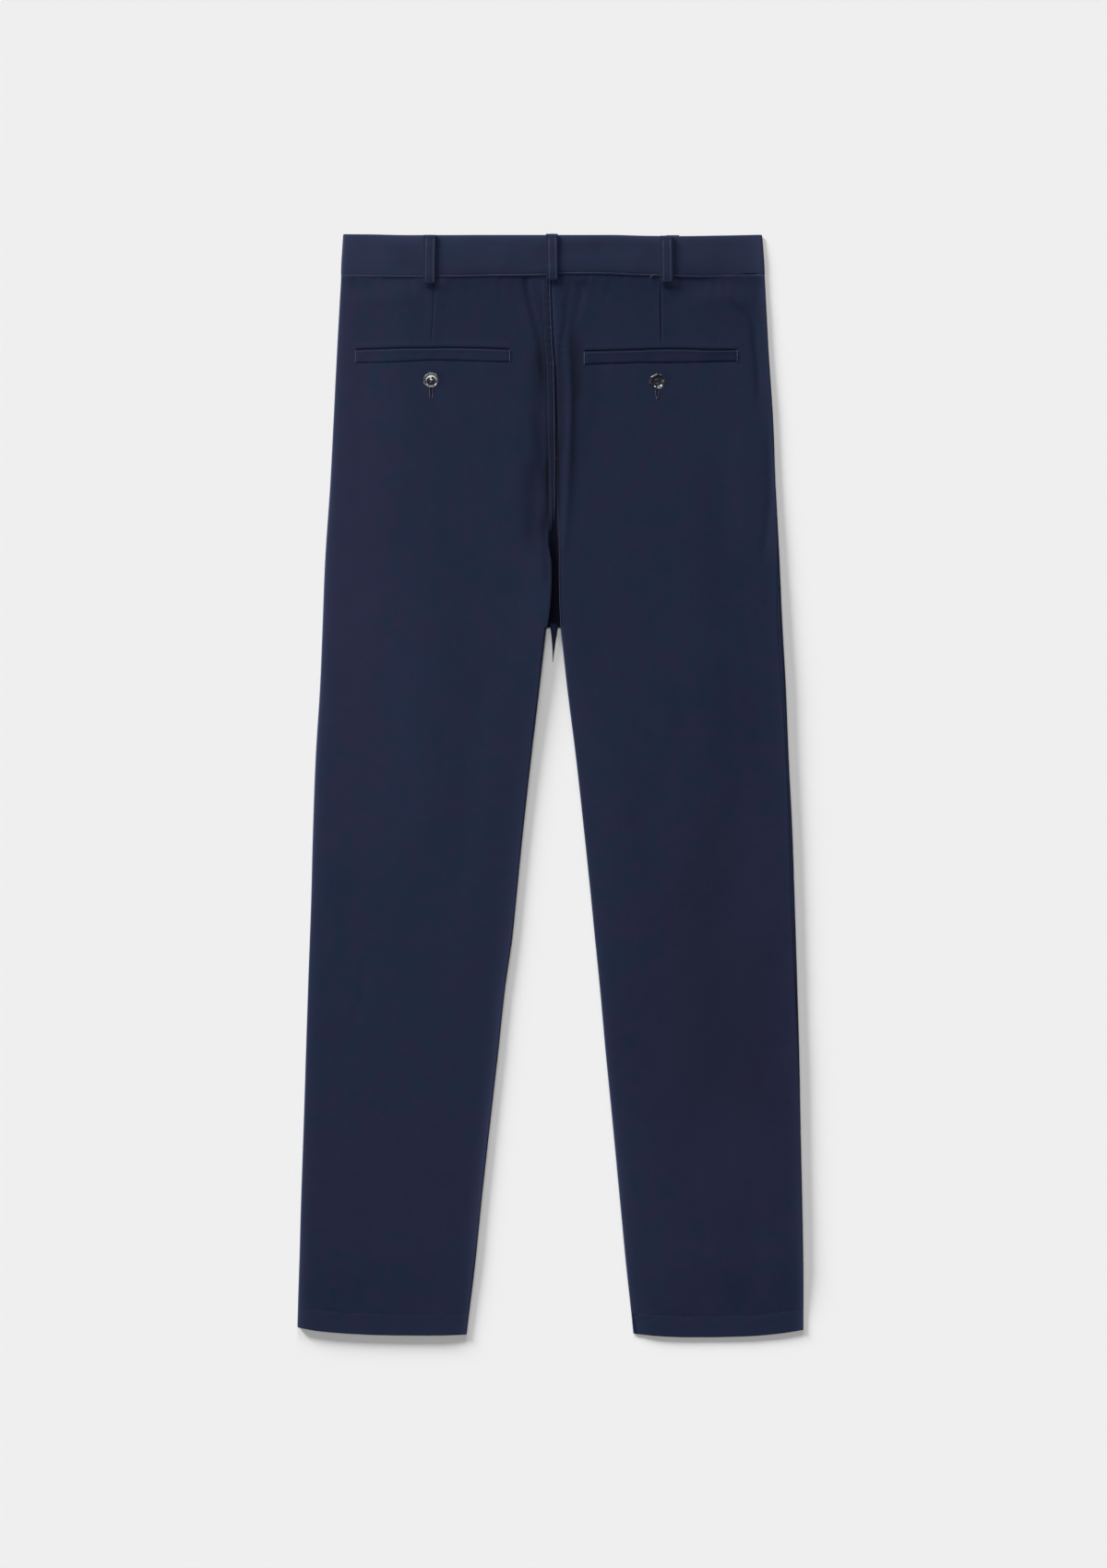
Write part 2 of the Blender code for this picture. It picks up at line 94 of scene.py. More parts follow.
class Slot(Enum):
    """The record's material slots."""

    TWILL = "twill"
    BAND = "band_twill"
    BUTTON = "button"


# ---------------------------------------------------------------- lines, creases and unevenness


def smoothstep(t: Array) -> Array:
    """A soft ramp from 0 to 1: 3t^2 - 2t^3 between t = 0 and t = 1.

    Args:
        t: Places on the ramp.

    Returns:
        The ramp's height at each place.
    """
    t = np.clip(t, 0.0, 1.0)
    return t * t * (3.0 - 2.0 * t)


def bell(distance: Array, width: float | Array) -> Array:
    """A soft bump of height 1: e to the power of minus (distance / width) squared."""
    return np.exp(-((distance / width) ** 2))


def window(place: Array, low: float, high: float, soft: float) -> Array:
    """1 between low and high, with a soft ramp of a given width just inside each."""
    return smoothstep((place - low) / soft) * smoothstep((high - place) / soft)


def stacked(*parts: Array) -> Array:
    """Coordinates side by side, as the last axis."""
    return np.stack(parts, axis=-1)


def lengths(path: Array) -> Array:
    """Length along a path up to each of its points."""
    return np.concatenate([[0.0], np.cumsum(np.linalg.norm(np.diff(path, axis=0), axis=1))])


@dataclass(frozen=True)
class Curve:
    """A smooth line through (place, value) points."""

    points: Points

    def at(self, place: Array | float) -> Array:
        """The line's value: a cubic between neighbouring points with the slopes of their chords.

        Args:
            place: One place or an array of them, held inside the line's ends.

        Returns:
            The value at each place.
        """
        where, value = np.array(sorted(self.points), float).T
        slope = np.gradient(value, where)
        place = np.clip(place, where[0], where[-1])
        i = np.clip(np.searchsorted(where, place) - 1, 0, len(where) - 2)
        width = where[i + 1] - where[i]
        t = (place - where[i]) / width
        ramp = 3.0 * t**2 - 2.0 * t**3
        return (
            value[i] * (1.0 - ramp)
            + value[i + 1] * ramp
            + slope[i] * width * (t**3 - 2.0 * t**2 + t)
            + slope[i + 1] * width * (t**3 - t**2)
        )


@dataclass(frozen=True)
class Crease:
    """A soft trough (negative rise) or ridge along a line, with a half width on each side of it."""

    points: Points
    rise: float
    left: float = 4.0
    right: float = 4.0

    def line(self, count: int = 24) -> Array:
        """Points along the crease: its x and its y are each a smooth line over the chord length.

        Args:
            count: Number of points.

        Returns:
            The points, count by 2.
        """
        knots = np.array(self.points, float)
        chord = lengths(knots)
        at = np.linspace(0.0, chord[-1], count)
        return stacked(*(Curve(tuple(zip(chord, knots[:, i]))).at(at) for i in (0, 1)))

    def relief(self, x: Array, y: Array) -> Array:
        """Height of the crease: its rise times a bell of the distance to its line, faded at its ends.

        Args:
            x: Places across the garment.
            y: Places up the garment, of the same shape.

        Returns:
            The height at each place, in millimetres.
        """
        line = self.line()
        reach = 2.6 * max(self.left, self.right)
        low, high = line.min(0) - reach, line.max(0) + reach
        near = (x > low[0]) & (x < high[0]) & (y > low[1]) & (y < high[1])
        result = np.zeros_like(x)
        if not near.any():
            return result
        place = stacked(x[near], y[near])[:, None]
        start, run = line[:-1], np.diff(line, axis=0)
        share = np.clip(((place - start) * run).sum(-1) / (run**2).sum(-1), 0.0, 1.0)
        away = place - (start + share[..., None] * run)
        far = (away**2).sum(-1)
        nearest = far.argmin(-1)
        each = np.arange(len(nearest))
        away, run = away[each, nearest], run[nearest]
        on_left = run[:, 0] * away[:, 1] - run[:, 1] * away[:, 0] > 0.0
        width = np.where(on_left, self.left, self.right)
        passed = (nearest + share[each, nearest]) / (len(line) - 1)
        fade = window(passed, 0.0, 1.0, 0.25)
        result[near] = self.rise * fade * bell(np.sqrt(far[each, nearest]), width)
        return result


def ripples(x: Array, y: Array, wave: float, seed: int, stretch: float = 1.0) -> Array:
    """Soft unevenness of about unit height: a sum of eight plane waves of seeded direction.

    Args:
        x: Places across the garment.
        y: Places up the garment.
        wave: Usual length of a wave, in millimetres.
        seed: What fixes the waves.
        stretch: How many times longer the waves are up the garment than across it.

    Returns:
        The height at each place.
    """
    draw = np.random.default_rng(seed)
    total = np.zeros(np.broadcast(x, y).shape)
    for angle, phase, size in zip(
        draw.uniform(0, TAU, 8), draw.uniform(0, TAU, 8), draw.uniform(0.65, 1.5, 8)
    ):
        along = x * math.cos(angle) + y * math.sin(angle) / stretch
        total = total + np.sin(TAU * along / (wave * size) + phase)
    return total / 2.8


# ---------------------------------------------------------------- meshes


def grid_faces(rows: int, columns: int, round_columns: bool = False) -> Array:
    """Quads between neighbouring points of a grid that is stored row by row.

    Args:
        rows: Number of rows.
        columns: Number of points in a row.
        round_columns: Whether the last point of a row joins its first.

    Returns:
        One row of four point numbers for each quad.
    """
    r = np.arange(rows - 1)[:, None]
    c = np.arange(columns if round_columns else columns - 1)[None]
    after = (c + 1) % columns
    here, there = r * columns, (r + 1) * columns
    return stacked(here + c, here + after, there + after, there + c).reshape(-1, 4)


def cap_faces(columns: int, first: int) -> Array:
    """Quads that close a ring with an even number of points, paired across it."""
    i = np.arange(columns // 2 - 1)
    return first + stacked(i, i + 1, columns - 2 - i, columns - 1 - i)


def ring_faces(rows: int, columns: int) -> Array:
    """Quads of a closed tube that is stored ring by ring, capped at both ends.

    Args:
        rows: Number of rings.
        columns: Number of points in a ring, which is even.

    Returns:
        One row of four point numbers for each quad.
    """
    far = cap_faces(columns, (rows - 1) * columns)[:, ::-1]
    return np.concatenate([grid_faces(rows, columns, True), cap_faces(columns, 0), far])


def outward(points: Array, faces: Array) -> Array:
    """Turns the quads round if the volume that they enclose comes out negative.

    Args:
        points: The mesh's points.
        faces: Its quads.

    Returns:
        The quads, facing out.
    """
    a, b, c, d = (points[faces[:, i]] for i in range(4))
    volume = (a * np.cross(b, c)).sum() + (a * np.cross(c, d)).sum()
    return faces if volume > 0.0 else faces[:, ::-1]


class Soup(NamedTuple):
    """A mesh before it is made: points, quads, and each point's place on the cloth."""

    points: Array
    faces: Array
    cloth: Array
    shade: Array

    @staticmethod
    def of(
        points: Array, faces: Array, cloth: Array | None = None, shade: Array | None = None
    ) -> "Soup":
        """A closed mesh with its faces turned outwards.

        Args:
            points: Points in millimetres.
            faces: Quads.
            cloth: Place of each point on the flat cloth, or none where the piece isn't cloth.
            shade: Painted shade at each point, up to 1; below 0, painted light and sheen.

        Returns:
            The mesh's data.
        """
        return Soup(
            points,
            outward(points, faces),
            points[:, :2] if cloth is None else cloth,
            np.zeros(len(points)) if shade is None else shade,
        )


def joined(parts: list[Soup]) -> Soup:
    """Several meshes as one, with the point numbers of each moved past those before it.

    Args:
        parts: The meshes.

    Returns:
        The one mesh.
    """
    starts = np.cumsum([0] + [len(part.points) for part in parts[:-1]])
    return Soup(
        np.concatenate([part.points for part in parts]),
        np.concatenate([part.faces + start for part, start in zip(parts, starts)]),
        np.concatenate([part.cloth for part in parts]),
        np.concatenate([part.shade for part in parts]),
    )


def make_piece(
    name: str, soup: Soup, material: bpy.types.Material, sharp: float = 50.0
) -> bpy.types.Object:
    """A mesh object in metres at the origin, with its cloth map and its painted shade.

    Args:
        name: The piece's name.
        soup: Its data in millimetres.
        material: Its finish.
        sharp: Edges that turn by more than this many degrees stay sharp.

    Returns:
        The new object.
    """
    mesh = bpy.data.meshes.new(name)
    mesh.from_pydata((soup.points * MM).tolist(), [], soup.faces.tolist())
    corner = np.zeros(len(mesh.loops), np.int32)
    mesh.loops.foreach_get("vertex_index", corner)
    uv = mesh.uv_layers.new(name="cloth")
    uv.data.foreach_set("uv", (soup.cloth[corner] * MM).astype(np.float32).ravel())
    # The shade attribute carries painted shade (above 0) and painted light and sheen (below 0) to the
    # finish.
    shade = mesh.attributes.new("shade", "FLOAT", "POINT")
    shade.data.foreach_set("value", soup.shade.astype(np.float32))
    mesh.materials.append(material)
    mesh.shade_smooth()
    mesh.set_sharp_from_angle(angle=math.radians(sharp))
    mesh.validate()
    piece = bpy.data.objects.new(name, mesh)
    bpy.context.scene.collection.objects.link(piece)
    return piece


def cloth_shell(outer: Array, inner: Array, cloth: Array, shade: Array) -> Soup:
    """Cloth between an outer and an inner grid of points, closed round its edges by quads.

    Args:
        outer: Grid of points on the face that shows, rows by columns by 3.
        inner: The same grid on the other face.
        cloth: Place on the flat cloth, rows by columns by 2.
        shade: Painted shade and painted light, rows by columns.

    Returns:
        The closed shell.
    """
    rows, columns = outer.shape[:2]
    count = rows * columns
    number = np.arange(count).reshape(rows, columns)
    rim = np.concatenate([
        number[0, :-1], number[:-1, -1], number[-1, :0:-1], number[:0:-1, 0]
    ])
    ahead = np.roll(rim, -1)
    face = grid_faces(rows, columns)
    sides = stacked(rim, rim + count, ahead + count, ahead)
    faces = np.concatenate([face, face[:, ::-1] + count, sides])
    points = np.concatenate([outer.reshape(-1, 3), inner.reshape(-1, 3)])
    return Soup.of(
        points, faces, np.tile(cloth.reshape(-1, 2), (2, 1)), np.tile(shade.ravel(), 2)
    )


def swept(path: Array, side: Array, up: Array, outline: Array) -> Soup:
    """An outline carried along a path: each point is path + u * side + v * up, closed at both ends.

    Args:
        path: Points of the path, n by 3.
        side: Unit vectors across the path, n by 3.
        up: Unit vectors out of it, n by 3.
        outline: (u, v) points of a closed ring with an even count, m by 2 or n by m by 2.

    Returns:
        The closed mesh.
    """
    rows = len(path)
    ring = np.broadcast_to(outline, (rows, *outline.shape[-2:]))
    columns = ring.shape[1]
    points = (
        path[:, None]
        + ring[..., :1] * side[:, None]
        + ring[..., 1:] * up[:, None]
    )
    around = np.linalg.norm(np.diff(ring, axis=1, prepend=ring[:, :1]), axis=-1).cumsum(1)
    cloth = stacked(around, np.broadcast_to(lengths(path)[:, None], around.shape))
    return Soup.of(points.reshape(-1, 3), ring_faces(rows, columns), cloth.reshape(-1, 2))


def unit(vectors: Array) -> Array:
    """Vectors scaled to length 1."""
    return vectors / np.linalg.norm(vectors, axis=-1, keepdims=True)


# ---------------------------------------------------------------- shader nodes


class Value:
    """A number that changes over a surface; arithmetic on it adds Math nodes."""

    def __init__(self, graph: "Graph", socket: bpy.types.NodeSocket) -> None:
        """Keeps the socket that gives the number."""
        self.graph, self.socket = graph, socket

    def math(self, operation: str, other: "Value | float" = 0.0, turned: bool = False) -> "Value":
        """A Math node of this value and another, the other first where turned."""
        first, second = (other, self) if turned else (self, other)
        return self.graph.value(
            "ShaderNodeMath", {"operation": operation}, {0: first, 1: second}
        )

    def __add__(self, other: "Value | float") -> "Value":
        """Sum."""
        return self.math("ADD", other)

    def __sub__(self, other: "Value | float") -> "Value":
        """Difference."""
        return self.math("SUBTRACT", other)

    def __rsub__(self, other: "Value | float") -> "Value":
        """Difference with the number first."""
        return self.math("SUBTRACT", other, turned=True)

    def __mul__(self, other: "Value | float") -> "Value":
        """Product."""
        return self.math("MULTIPLY", other)

    def __truediv__(self, other: "Value | float") -> "Value":
        """Quotient."""
        return self.math("DIVIDE", other)

    __radd__ = __add__
    __rmul__ = __mul__

    def sine(self) -> "Value":
        """Sine of the value in radians."""
        return self.math("SINE")

    def held(self) -> "Value":
        """The value held between 0 and 1."""
        return self.math("MAXIMUM", 0.0).math("MINIMUM", 1.0)

    def ramp(self, low: float, high: float) -> "Value":
        """0 below low, 1 above high, straight between them."""
        return ((self - low) / (high - low)).held()


class Graph:
    """One material's nodes."""

    def __init__(self, name: str) -> None:
        """Starts a material with its Principled shader.

        Args:
            name: Its name.
        """
        self.material = bpy.data.materials.new(name)
        self.material.use_nodes = True
        self.tree = self.material.node_tree
        self.shader = self.tree.nodes["Principled BSDF"]

    def add(
        self, kind: str, settings: dict | None = None, inputs: dict | None = None
    ) -> bpy.types.Node:
        """Adds a node: its settings first, then the values and links of its sockets.

        Args:
            kind: The node's type.
            settings: Its properties.
            inputs: Socket name or number, and a Value, socket, number or tuple.

        Returns:
            The node.
        """
        node = self.tree.nodes.new(kind)
        for key, setting in (settings or {}).items():
            setattr(node, key, setting)
        for key, given in (inputs or {}).items():
            self.give(node.inputs[key], given)
        return node

    def give(self, socket: bpy.types.NodeSocket, given: object) -> None:
        """Links a socket, or sets its value where a number or tuple is given.

        Args:
            socket: The socket.
            given: What it gets.
        """
        if isinstance(given, Value):
            self.tree.links.new(given.socket, socket)
        elif isinstance(given, bpy.types.NodeSocket):
            self.tree.links.new(given, socket)
        else:
            socket.default_value = given

    def value(self, kind: str, settings: dict | None = None, inputs: dict | None = None) -> Value:
        """Adds a node and returns its first output as a Value."""
        return Value(self, self.add(kind, settings, inputs).outputs[0])

    def noise(self, place: bpy.types.NodeSocket, scale: float, detail: float = 2.0) -> Value:
        """Noise of a number of cells a metre, from 0 to 1."""
        return self.value("ShaderNodeTexNoise", None, {
            "Vector": place, "Scale": scale, "Detail": detail, "Roughness": 0.55,
        })

    def stretched(
        self, place: bpy.types.NodeSocket, scale: tuple, turn: float = 0.0
    ) -> bpy.types.NodeSocket:
        """The place scaled along each axis, and turned in the cloth's plane."""
        return self.add("ShaderNodeMapping", None, {
            "Vector": place, "Scale": scale, "Rotation": (0.0, 0.0, turn),
        }).outputs[0]

    def place(self) -> bpy.types.NodeSocket:
        """The point of the surface in the piece's own space."""
        return self.add("ShaderNodeTexCoord").outputs["Object"]

    def bumped(self, strength: float, distance: float, height: Value) -> bpy.types.NodeSocket:
        """The surface's normal, tilted by a height."""
        given = {"Strength": strength, "Distance": distance, "Height": height}
        return self.add("ShaderNodeBump", None, given).outputs[0]

    def mixed(self, share: Value | float, first: object, second: object) -> bpy.types.NodeSocket:
        """A colour between two, by a share from 0 to 1.

        Args:
            share: The share.
            first: The colour at 0.
            second: The colour at 1.

        Returns:
            The colour.
        """
        node = self.add("ShaderNodeMix", {"data_type": "RGBA"})
        self.give(node.inputs[0], share)
        self.give(node.inputs[6], first)
        self.give(node.inputs[7], second)
        return node.outputs[2]

    def shaded(self, **sockets: object) -> None:
        """Sets or links the shader's own sockets, with _ for the spaces in their names."""
        for key, given in sockets.items():
            self.give(self.shader.inputs[key.replace("_", " ")], given)


def darker(colour: tuple, share: float) -> tuple:
    """A colour times a share, opaque."""
    return (*(part * share for part in colour[:3]), 1.0)


@dataclass(frozen=True)
class Twill:
    """Matt navy cotton twill: fine diagonal ribs, uneven yarns and a faint cloudy tone."""

    name: str
    colour: tuple = (0.0076, 0.0122, 0.0315)
    warm: tuple = (0.0112, 0.0116, 0.0312)
    cool: tuple = (0.0054, 0.0130, 0.0300)
    lit: tuple = (0.0140, 0.0195, 0.0430)
    # worn: paler colour for shade below 0, painted sheen and painted light along the folded edges and
    # the band's top, partly real fading
    worn: tuple = (0.0265, 0.0320, 0.0680)
    # deep: near-black colour for shade above 0, painted shade in the valley, the slits, the seam
    # lines and the dark patches
    deep: tuple = (0.0008, 0.0008, 0.0044)
    patch: tuple = (110.0, 90.0, 60.0)
    mottle: float = 1.0
    violet: tuple = (0.0115, 0.0112, 0.0310)
    tints: tuple[tuple[float, ...], ...] = (
        (0.165, -0.235, 0.090, 0.230, 0.85),
        (-0.182, 0.200, 0.030, 0.230, 0.70),
        (-0.150, -0.370, 0.095, 0.075, 0.70),
    )
    rib_pitch: float = 0.00075
    rib_turn: float = math.radians(63.0)
    bump: float = 0.30

    def material(self) -> bpy.types.Material:
        """The finish: ribs are a sine across the diagonal, tones come from noises of several sizes.

        Returns:
            The material.
        """
        g = Graph(self.name)
        cloth = g.add("ShaderNodeUVMap", {"uv_map": "cloth"}).outputs[0]
        place = g.place()
        split = g.add("ShaderNodeSeparateXYZ", None, {0: cloth})
        across, along = Value(g, split.outputs[0]), Value(g, split.outputs[1])
        waver = g.noise(cloth, 60.0) - 0.5
        diagonal = across * math.sin(self.rib_turn) - along * math.cos(self.rib_turn)
        ribs = ((diagonal + waver * 0.0006) * (TAU / self.rib_pitch)).sine() * 0.5 + 0.5
        yarn = g.noise(g.stretched(cloth, (2600.0, 700.0, 1.0)), 1.0, 1.0)
        slub = g.noise(g.stretched(cloth, (900.0, 26.0, 1.0)), 1.0, 2.0)
        weft = g.noise(g.stretched(cloth, (30.0, 800.0, 1.0)), 1.0, 2.0)
        cloud = g.noise(place, 24.0, 3.0)
        broad = g.noise(place, 7.0, 2.0)
        hue = g.noise(place, 46.0)
        patch = g.noise(g.stretched(place, self.patch), 1.0, 2.0)
        hue = hue * 0.5 + patch * 0.5
        base = g.mixed(hue.ramp(0.48, 0.62) * 0.8, self.colour + (1.0,), self.warm + (1.0,))
        base = g.mixed((1.0 - hue).ramp(0.48, 0.62) * 0.8, base, self.cool + (1.0,))
        for x, y, wide, tall, share in self.tints:
            near = g.add("ShaderNodeMapping", None, {
                "Vector": place, "Location": (-x / wide, -y / tall, 0.0),
                "Scale": (1.0 / wide, 1.0 / tall, 0.0),
            }).outputs[0]
            far = g.add("ShaderNodeVectorMath", {"operation": "LENGTH"}, {0: near}).outputs[1]
            share = (1.3 - Value(g, far) + (hue - 0.5) * 3.0).ramp(0.0, 0.5) * share
            base = g.mixed(share, base, self.violet + (1.0,))
        light = ribs * 0.10 + slub * 0.24 + weft * 0.12 + yarn * 0.10 + cloud * 0.18 + broad * 0.12
        light = light + patch * 0.14
        base = g.mixed((light - 0.34).held() * self.mottle, base, self.lit + (1.0,))
        # The shade attribute paints light and shade: below 0 it mixes in worn (painted sheen and
        # light, partly real fading), above 0 deep (painted shade).
        tone = Value(g, g.add("ShaderNodeAttribute", {"attribute_name": "shade"}).outputs["Fac"])
        base = g.mixed((tone * -1.0).held(), base, self.worn + (1.0,))
        base = g.mixed(tone.held(), base, self.deep + (1.0,))
        fuzz = g.noise(cloth, 3200.0, 2.0)
        height = ribs * 0.55 + yarn * 0.30 + slub * 0.20 + fuzz * 0.20
        g.shaded(
            Base_Color=base,
            Roughness=0.80 + fuzz * 0.12,
            Normal=g.bumped(self.bump, 0.00010, height),
            Specular_IOR_Level=0.10,
            Sheen_Weight=0.08,
            Sheen_Roughness=0.45,
            Sheen_Tint=(0.55, 0.60, 0.80, 1.0),
        )
        return g.material


@dataclass(frozen=True)
class Thread:
    """Polyester sewing thread, a little lighter and smoother than the cloth."""

    name: str
    colour: tuple = (0.044, 0.053, 0.088)

    def material(self) -> bpy.types.Material:
        """The finish: a fine twist across each stitch lifts the colour and the surface.

        Returns:
            The material.
        """
        g = Graph(self.name)
        place = g.place()
        twist = g.noise(place, 2400.0, 2.0)
        tone = g.noise(place, 90.0, 2.0)
        share = (twist * 0.5 + tone * 0.5).ramp(0.35, 0.65)
        base = g.mixed(share, darker(self.colour, 0.70), darker(self.colour, 1.30))
        g.shaded(
            Base_Color=base, Roughness=0.55 + tone * 0.15,
            Normal=g.bumped(0.35, 0.00008, twist),
            Specular_IOR_Level=0.35, Sheen_Weight=0.15, Sheen_Roughness=0.4,
        )
        return g.material


@dataclass(frozen=True)
class Resin:
    """Smoky polished button resin with a faint cloud in it."""

    name: str
    colour: tuple = (0.006, 0.007, 0.010)
    cloud: tuple = (0.021, 0.019, 0.022)

    def material(self) -> bpy.types.Material:
        """The finish: two noises cloud the colour, and a clear coat gives the gloss.

        Returns:
            The material.
        """
        g = Graph(self.name)
        place = g.place()
        swirl = g.noise(g.stretched(place, (160.0, 320.0, 160.0), 0.6), 1.0, 3.0)
        grain = g.noise(place, 900.0, 2.0)
        base = g.mixed(swirl.ramp(0.42, 0.70), self.colour + (1.0,), self.cloud + (1.0,))
        g.shaded(
            Base_Color=base, Roughness=0.10 + grain * 0.08,
            Normal=g.bumped(0.10, 0.00005, grain),
            Specular_IOR_Level=0.5, Coat_Weight=0.35, Coat_Roughness=0.05,
        )
        return g.material


@dataclass(frozen=True)
class Finishes:
    """The materials, made once."""

    twill: bpy.types.Material
    band: bpy.types.Material
    thread: bpy.types.Material
    dark_thread: bpy.types.Material
    pale_thread: bpy.types.Material
    resin: bpy.types.Material

    @staticmethod
    def made() -> "Finishes":
        """Makes every finish.

        Returns:
            The finishes.
        """
        return Finishes(
            twill=Twill("navy_twill").material(),
            band=Twill(
                "navy_band_twill",
                colour=(0.0100, 0.0150, 0.0370),
                warm=(0.0135, 0.0142, 0.0370),
                cool=(0.0080, 0.0158, 0.0365),
                lit=(0.0185, 0.0235, 0.0500),
                patch=(34.0, 150.0, 60.0),
                tints=(),
                mottle=1.3,
            ).material(),
            thread=Thread("navy_thread").material(),
            dark_thread=Thread("dark_navy_thread", colour=(0.014, 0.018, 0.040)).material(),
            pale_thread=Thread("pale_navy_thread", colour=(0.110, 0.120, 0.160)).material(),
            resin=Resin("smoky_resin").material(),
        )


# ---------------------------------------------------------------- the form of each half


class Sections(NamedTuple):
    """Outer faces of one half, a row for each distance up, with the lengths to their landmarks."""

    length: Array
    line: Array
    normal: Array
    floor_start: Array
    floor_end: Array
    edge: Array
    flank: Array
    inner: Array
    end: Array

    def pick(self, wanted: Array) -> tuple[Array, Array]:
        """Points and unit normals at given lengths: linear between the section's own points.

        Args:
            wanted: Lengths, one row for each section.

        Returns:
            The (out, height) points and the normals, rows by columns by 2.
        """
        shift = (np.arange(len(wanted)) * (self.length.max() + 10.0))[:, None]
        at, known = (wanted + shift).ravel(), (self.length + shift).ravel()
        found = [
            np.stack([np.interp(at, known, values[..., i].ravel()) for i in (0, 1)], axis=-1)
            for values in (self.line, self.normal)
        ]
        shape = (*wanted.shape, 2)
        return found[0].reshape(shape), unit(found[1].reshape(shape))


@dataclass(frozen=True)
class Leg:
    """One half of the trousers as it lies: its edges, its heights and its creases."""

    half: Half
    side: Curve
    inseam: Curve
    wrap: Curve
    hem: Curve
    valley: Curve
    channel: Curve
    creases: tuple[Crease, ...]
    # shades: patches of painted shade (rise above 0) and painted light (rise below 0)
    shades: tuple[Crease, ...]
    # dark_reach: how far out of the seam the painted shade of the valley reaches
    dark_reach: Curve
    # How much paler the folded edges are: painted sheen and painted light, partly real fading.
    edge_wear: Curve
    inner_wear: Curve
    seed: int
    lapped: bool = False
    centre_back: Curve = Curve((
        (480.2, 1.5), (458, 1.8), (437, 2.6), (415, 3.6), (396, 5), (378, 5.5), (354, 6),
        (290, 6.2), (245, 5.9), (223, 5.5), (199, 4.9), (180, 4.7), (161, 3.9), (150, 3.3),
    ))
    centre_front: Curve = Curve(((480.2, 8), (397, 8), (330, 8), (284, 4), (240, 2.6), (150, 2.6)))
    body: Curve = Curve((
        (480.2, 7.4), (466, 6.8), (440, 6.4), (400, 6.2), (340, 6.1), (205, 6.1), (150, 6),
        (100, 5.9), (40, 5.8), (-30, 5.6), (-250, 5.5), (-520.3, 5.3),
    ))
    lip: Curve = Curve((
        (480.2, 7.4), (462, 7), (400, 6.7), (340, 6.8), (290, 7), (252, 7.3), (228, 7.5),
        (205, 7.6), (150, 7.6), (100, 6.1), (40, 4.9), (-30, 4.1), (-250, 3.6), (-520.3, 3.6),
    ))
    seam: Curve = Curve((
        (480.2, 7.3), (462, 6.7), (430, 6.3), (400, 6.2), (340, 6.1), (290, 6.1), (252, 5.8),
        (228, 4.2), (205, 3), (150, 2.8),
    ))
    fall: Curve = Curve((
        (480.2, 4.5), (467, 4.2), (389, 3), (302, 2.3), (197, 1), (130, 0.1), (60, 0), (-520.3, 0),
    ))
    fall_width: float = 70.0
    # Painted shade beside the centre back seam and down into the valley.
    dusk: Curve = Curve((
        (480.2, 0.05), (458, 0.05), (437, 0.15), (415, 0.25), (396, 0.27), (350, 0.27), (325, 0.34),
        (300, 0.34), (262, 0.3), (247, 0.32), (240, 0.42), (233, 0.64), (226, 0.8), (212, 0.9),
        (199, 0.95), (150, 0.97),
    ))
    # groove: painted shadow along the seam's groove line
    groove: Curve = Curve((
        (480.2, 0.12), (437, 0.2), (412, 0.35), (400, 0.7), (289, 0.75), (262, 0.65), (150, 0.6),
    ))
    outer_row: Curve = Curve((
        (480.2, 7.9), (437, 7.8), (396, 7.4), (328, 7.3), (302, 6.5), (276, 5.7), (229, 5.1),
    ))
    centre_swell: float = 24.0
    valley_power: float = 3.2
    edge_top: float = 1.7
    edge_under: float = 1.3
    inner_top: float = 1.6
    inner_under: float = 1.3
    side_floor: float = 0.15
    hem_fall: float = 1.1
    corner_fall: float = 1.3
    corner_width: float = 14.0
    crotch_blend: float = 40.0
    waist_blend: float = 22.0
    waist_fall: float = 4.9
    waist_fall_from: float = 100.0
    waist_fall_width: float = 92.0
    front_sink_y: float = 447.0
    band_step: float = 0.6
    hem_bend_y: float = -440.0

    @property
    def sign(self) -> int:
        """-1 on the left half and 1 on the right."""
        return self.half.value

    def centre_seam(self, y: Array) -> Array:
        """Distance out of the centre back seam, where the two halves meet."""
        return self.sign * self.centre_back.at(y) + SEAM_GAP / 2

    def inner_edge(self, y: Array) -> Array:
        """Distance out of the centre back seam, or of the inseam's edge under the crotch."""
        return np.where(y < CROTCH_Y, self.inseam.at(y), self.centre_seam(y))

    def floor(self, y: Array) -> Array:
        """The front panels lie on the floor, and rise under the waistband."""
        share = (y - self.front_sink_y) / (WAIST_SEAM_Y - self.front_sink_y)
        return (BAND_FRONT_Z + self.band_step) * smoothstep(share)

    def crown(self, out: Array, y: Array) -> Array:
        """Height of the upper face: the body's, with a swell inwards and a fall to the side.

        Args:
            out: Distances out.
            y: Places up.

        Returns:
            Heights.
        """
        body = self.body.at(y)
        seam = self.centre_seam(y)
        near_crotch = smoothstep((CROTCH_Y + self.crotch_blend - y) / self.crotch_blend)
        inner = seam + (self.inseam.at(y) - seam) * near_crotch
        from_inner = np.maximum(out - inner, 0.0)
        from_side = self.side.at(y) - out
        fall = self.fall.at(y) * smoothstep((self.fall_width - from_side) / self.fall_width)
        low = smoothstep((self.hem_bend_y - y) / (self.hem_bend_y - HEM_Y))
        swell = (self.lip.at(y) - body) * bell(from_inner, self.centre_swell) * (1.0 - low)
        corner = 1.0 + self.corner_fall * bell(from_inner, self.corner_width)
        ends = self.waist_fall * smoothstep((out - self.waist_fall_from) / self.waist_fall_width)
        at_waist = smoothstep((y - WAIST_SEAM_Y + self.waist_blend + 2.0) / self.waist_blend)
        extra = np.maximum(ends - fall, 0.0) * at_waist
        return body + swell - fall - extra - self.hem_fall * low * corner

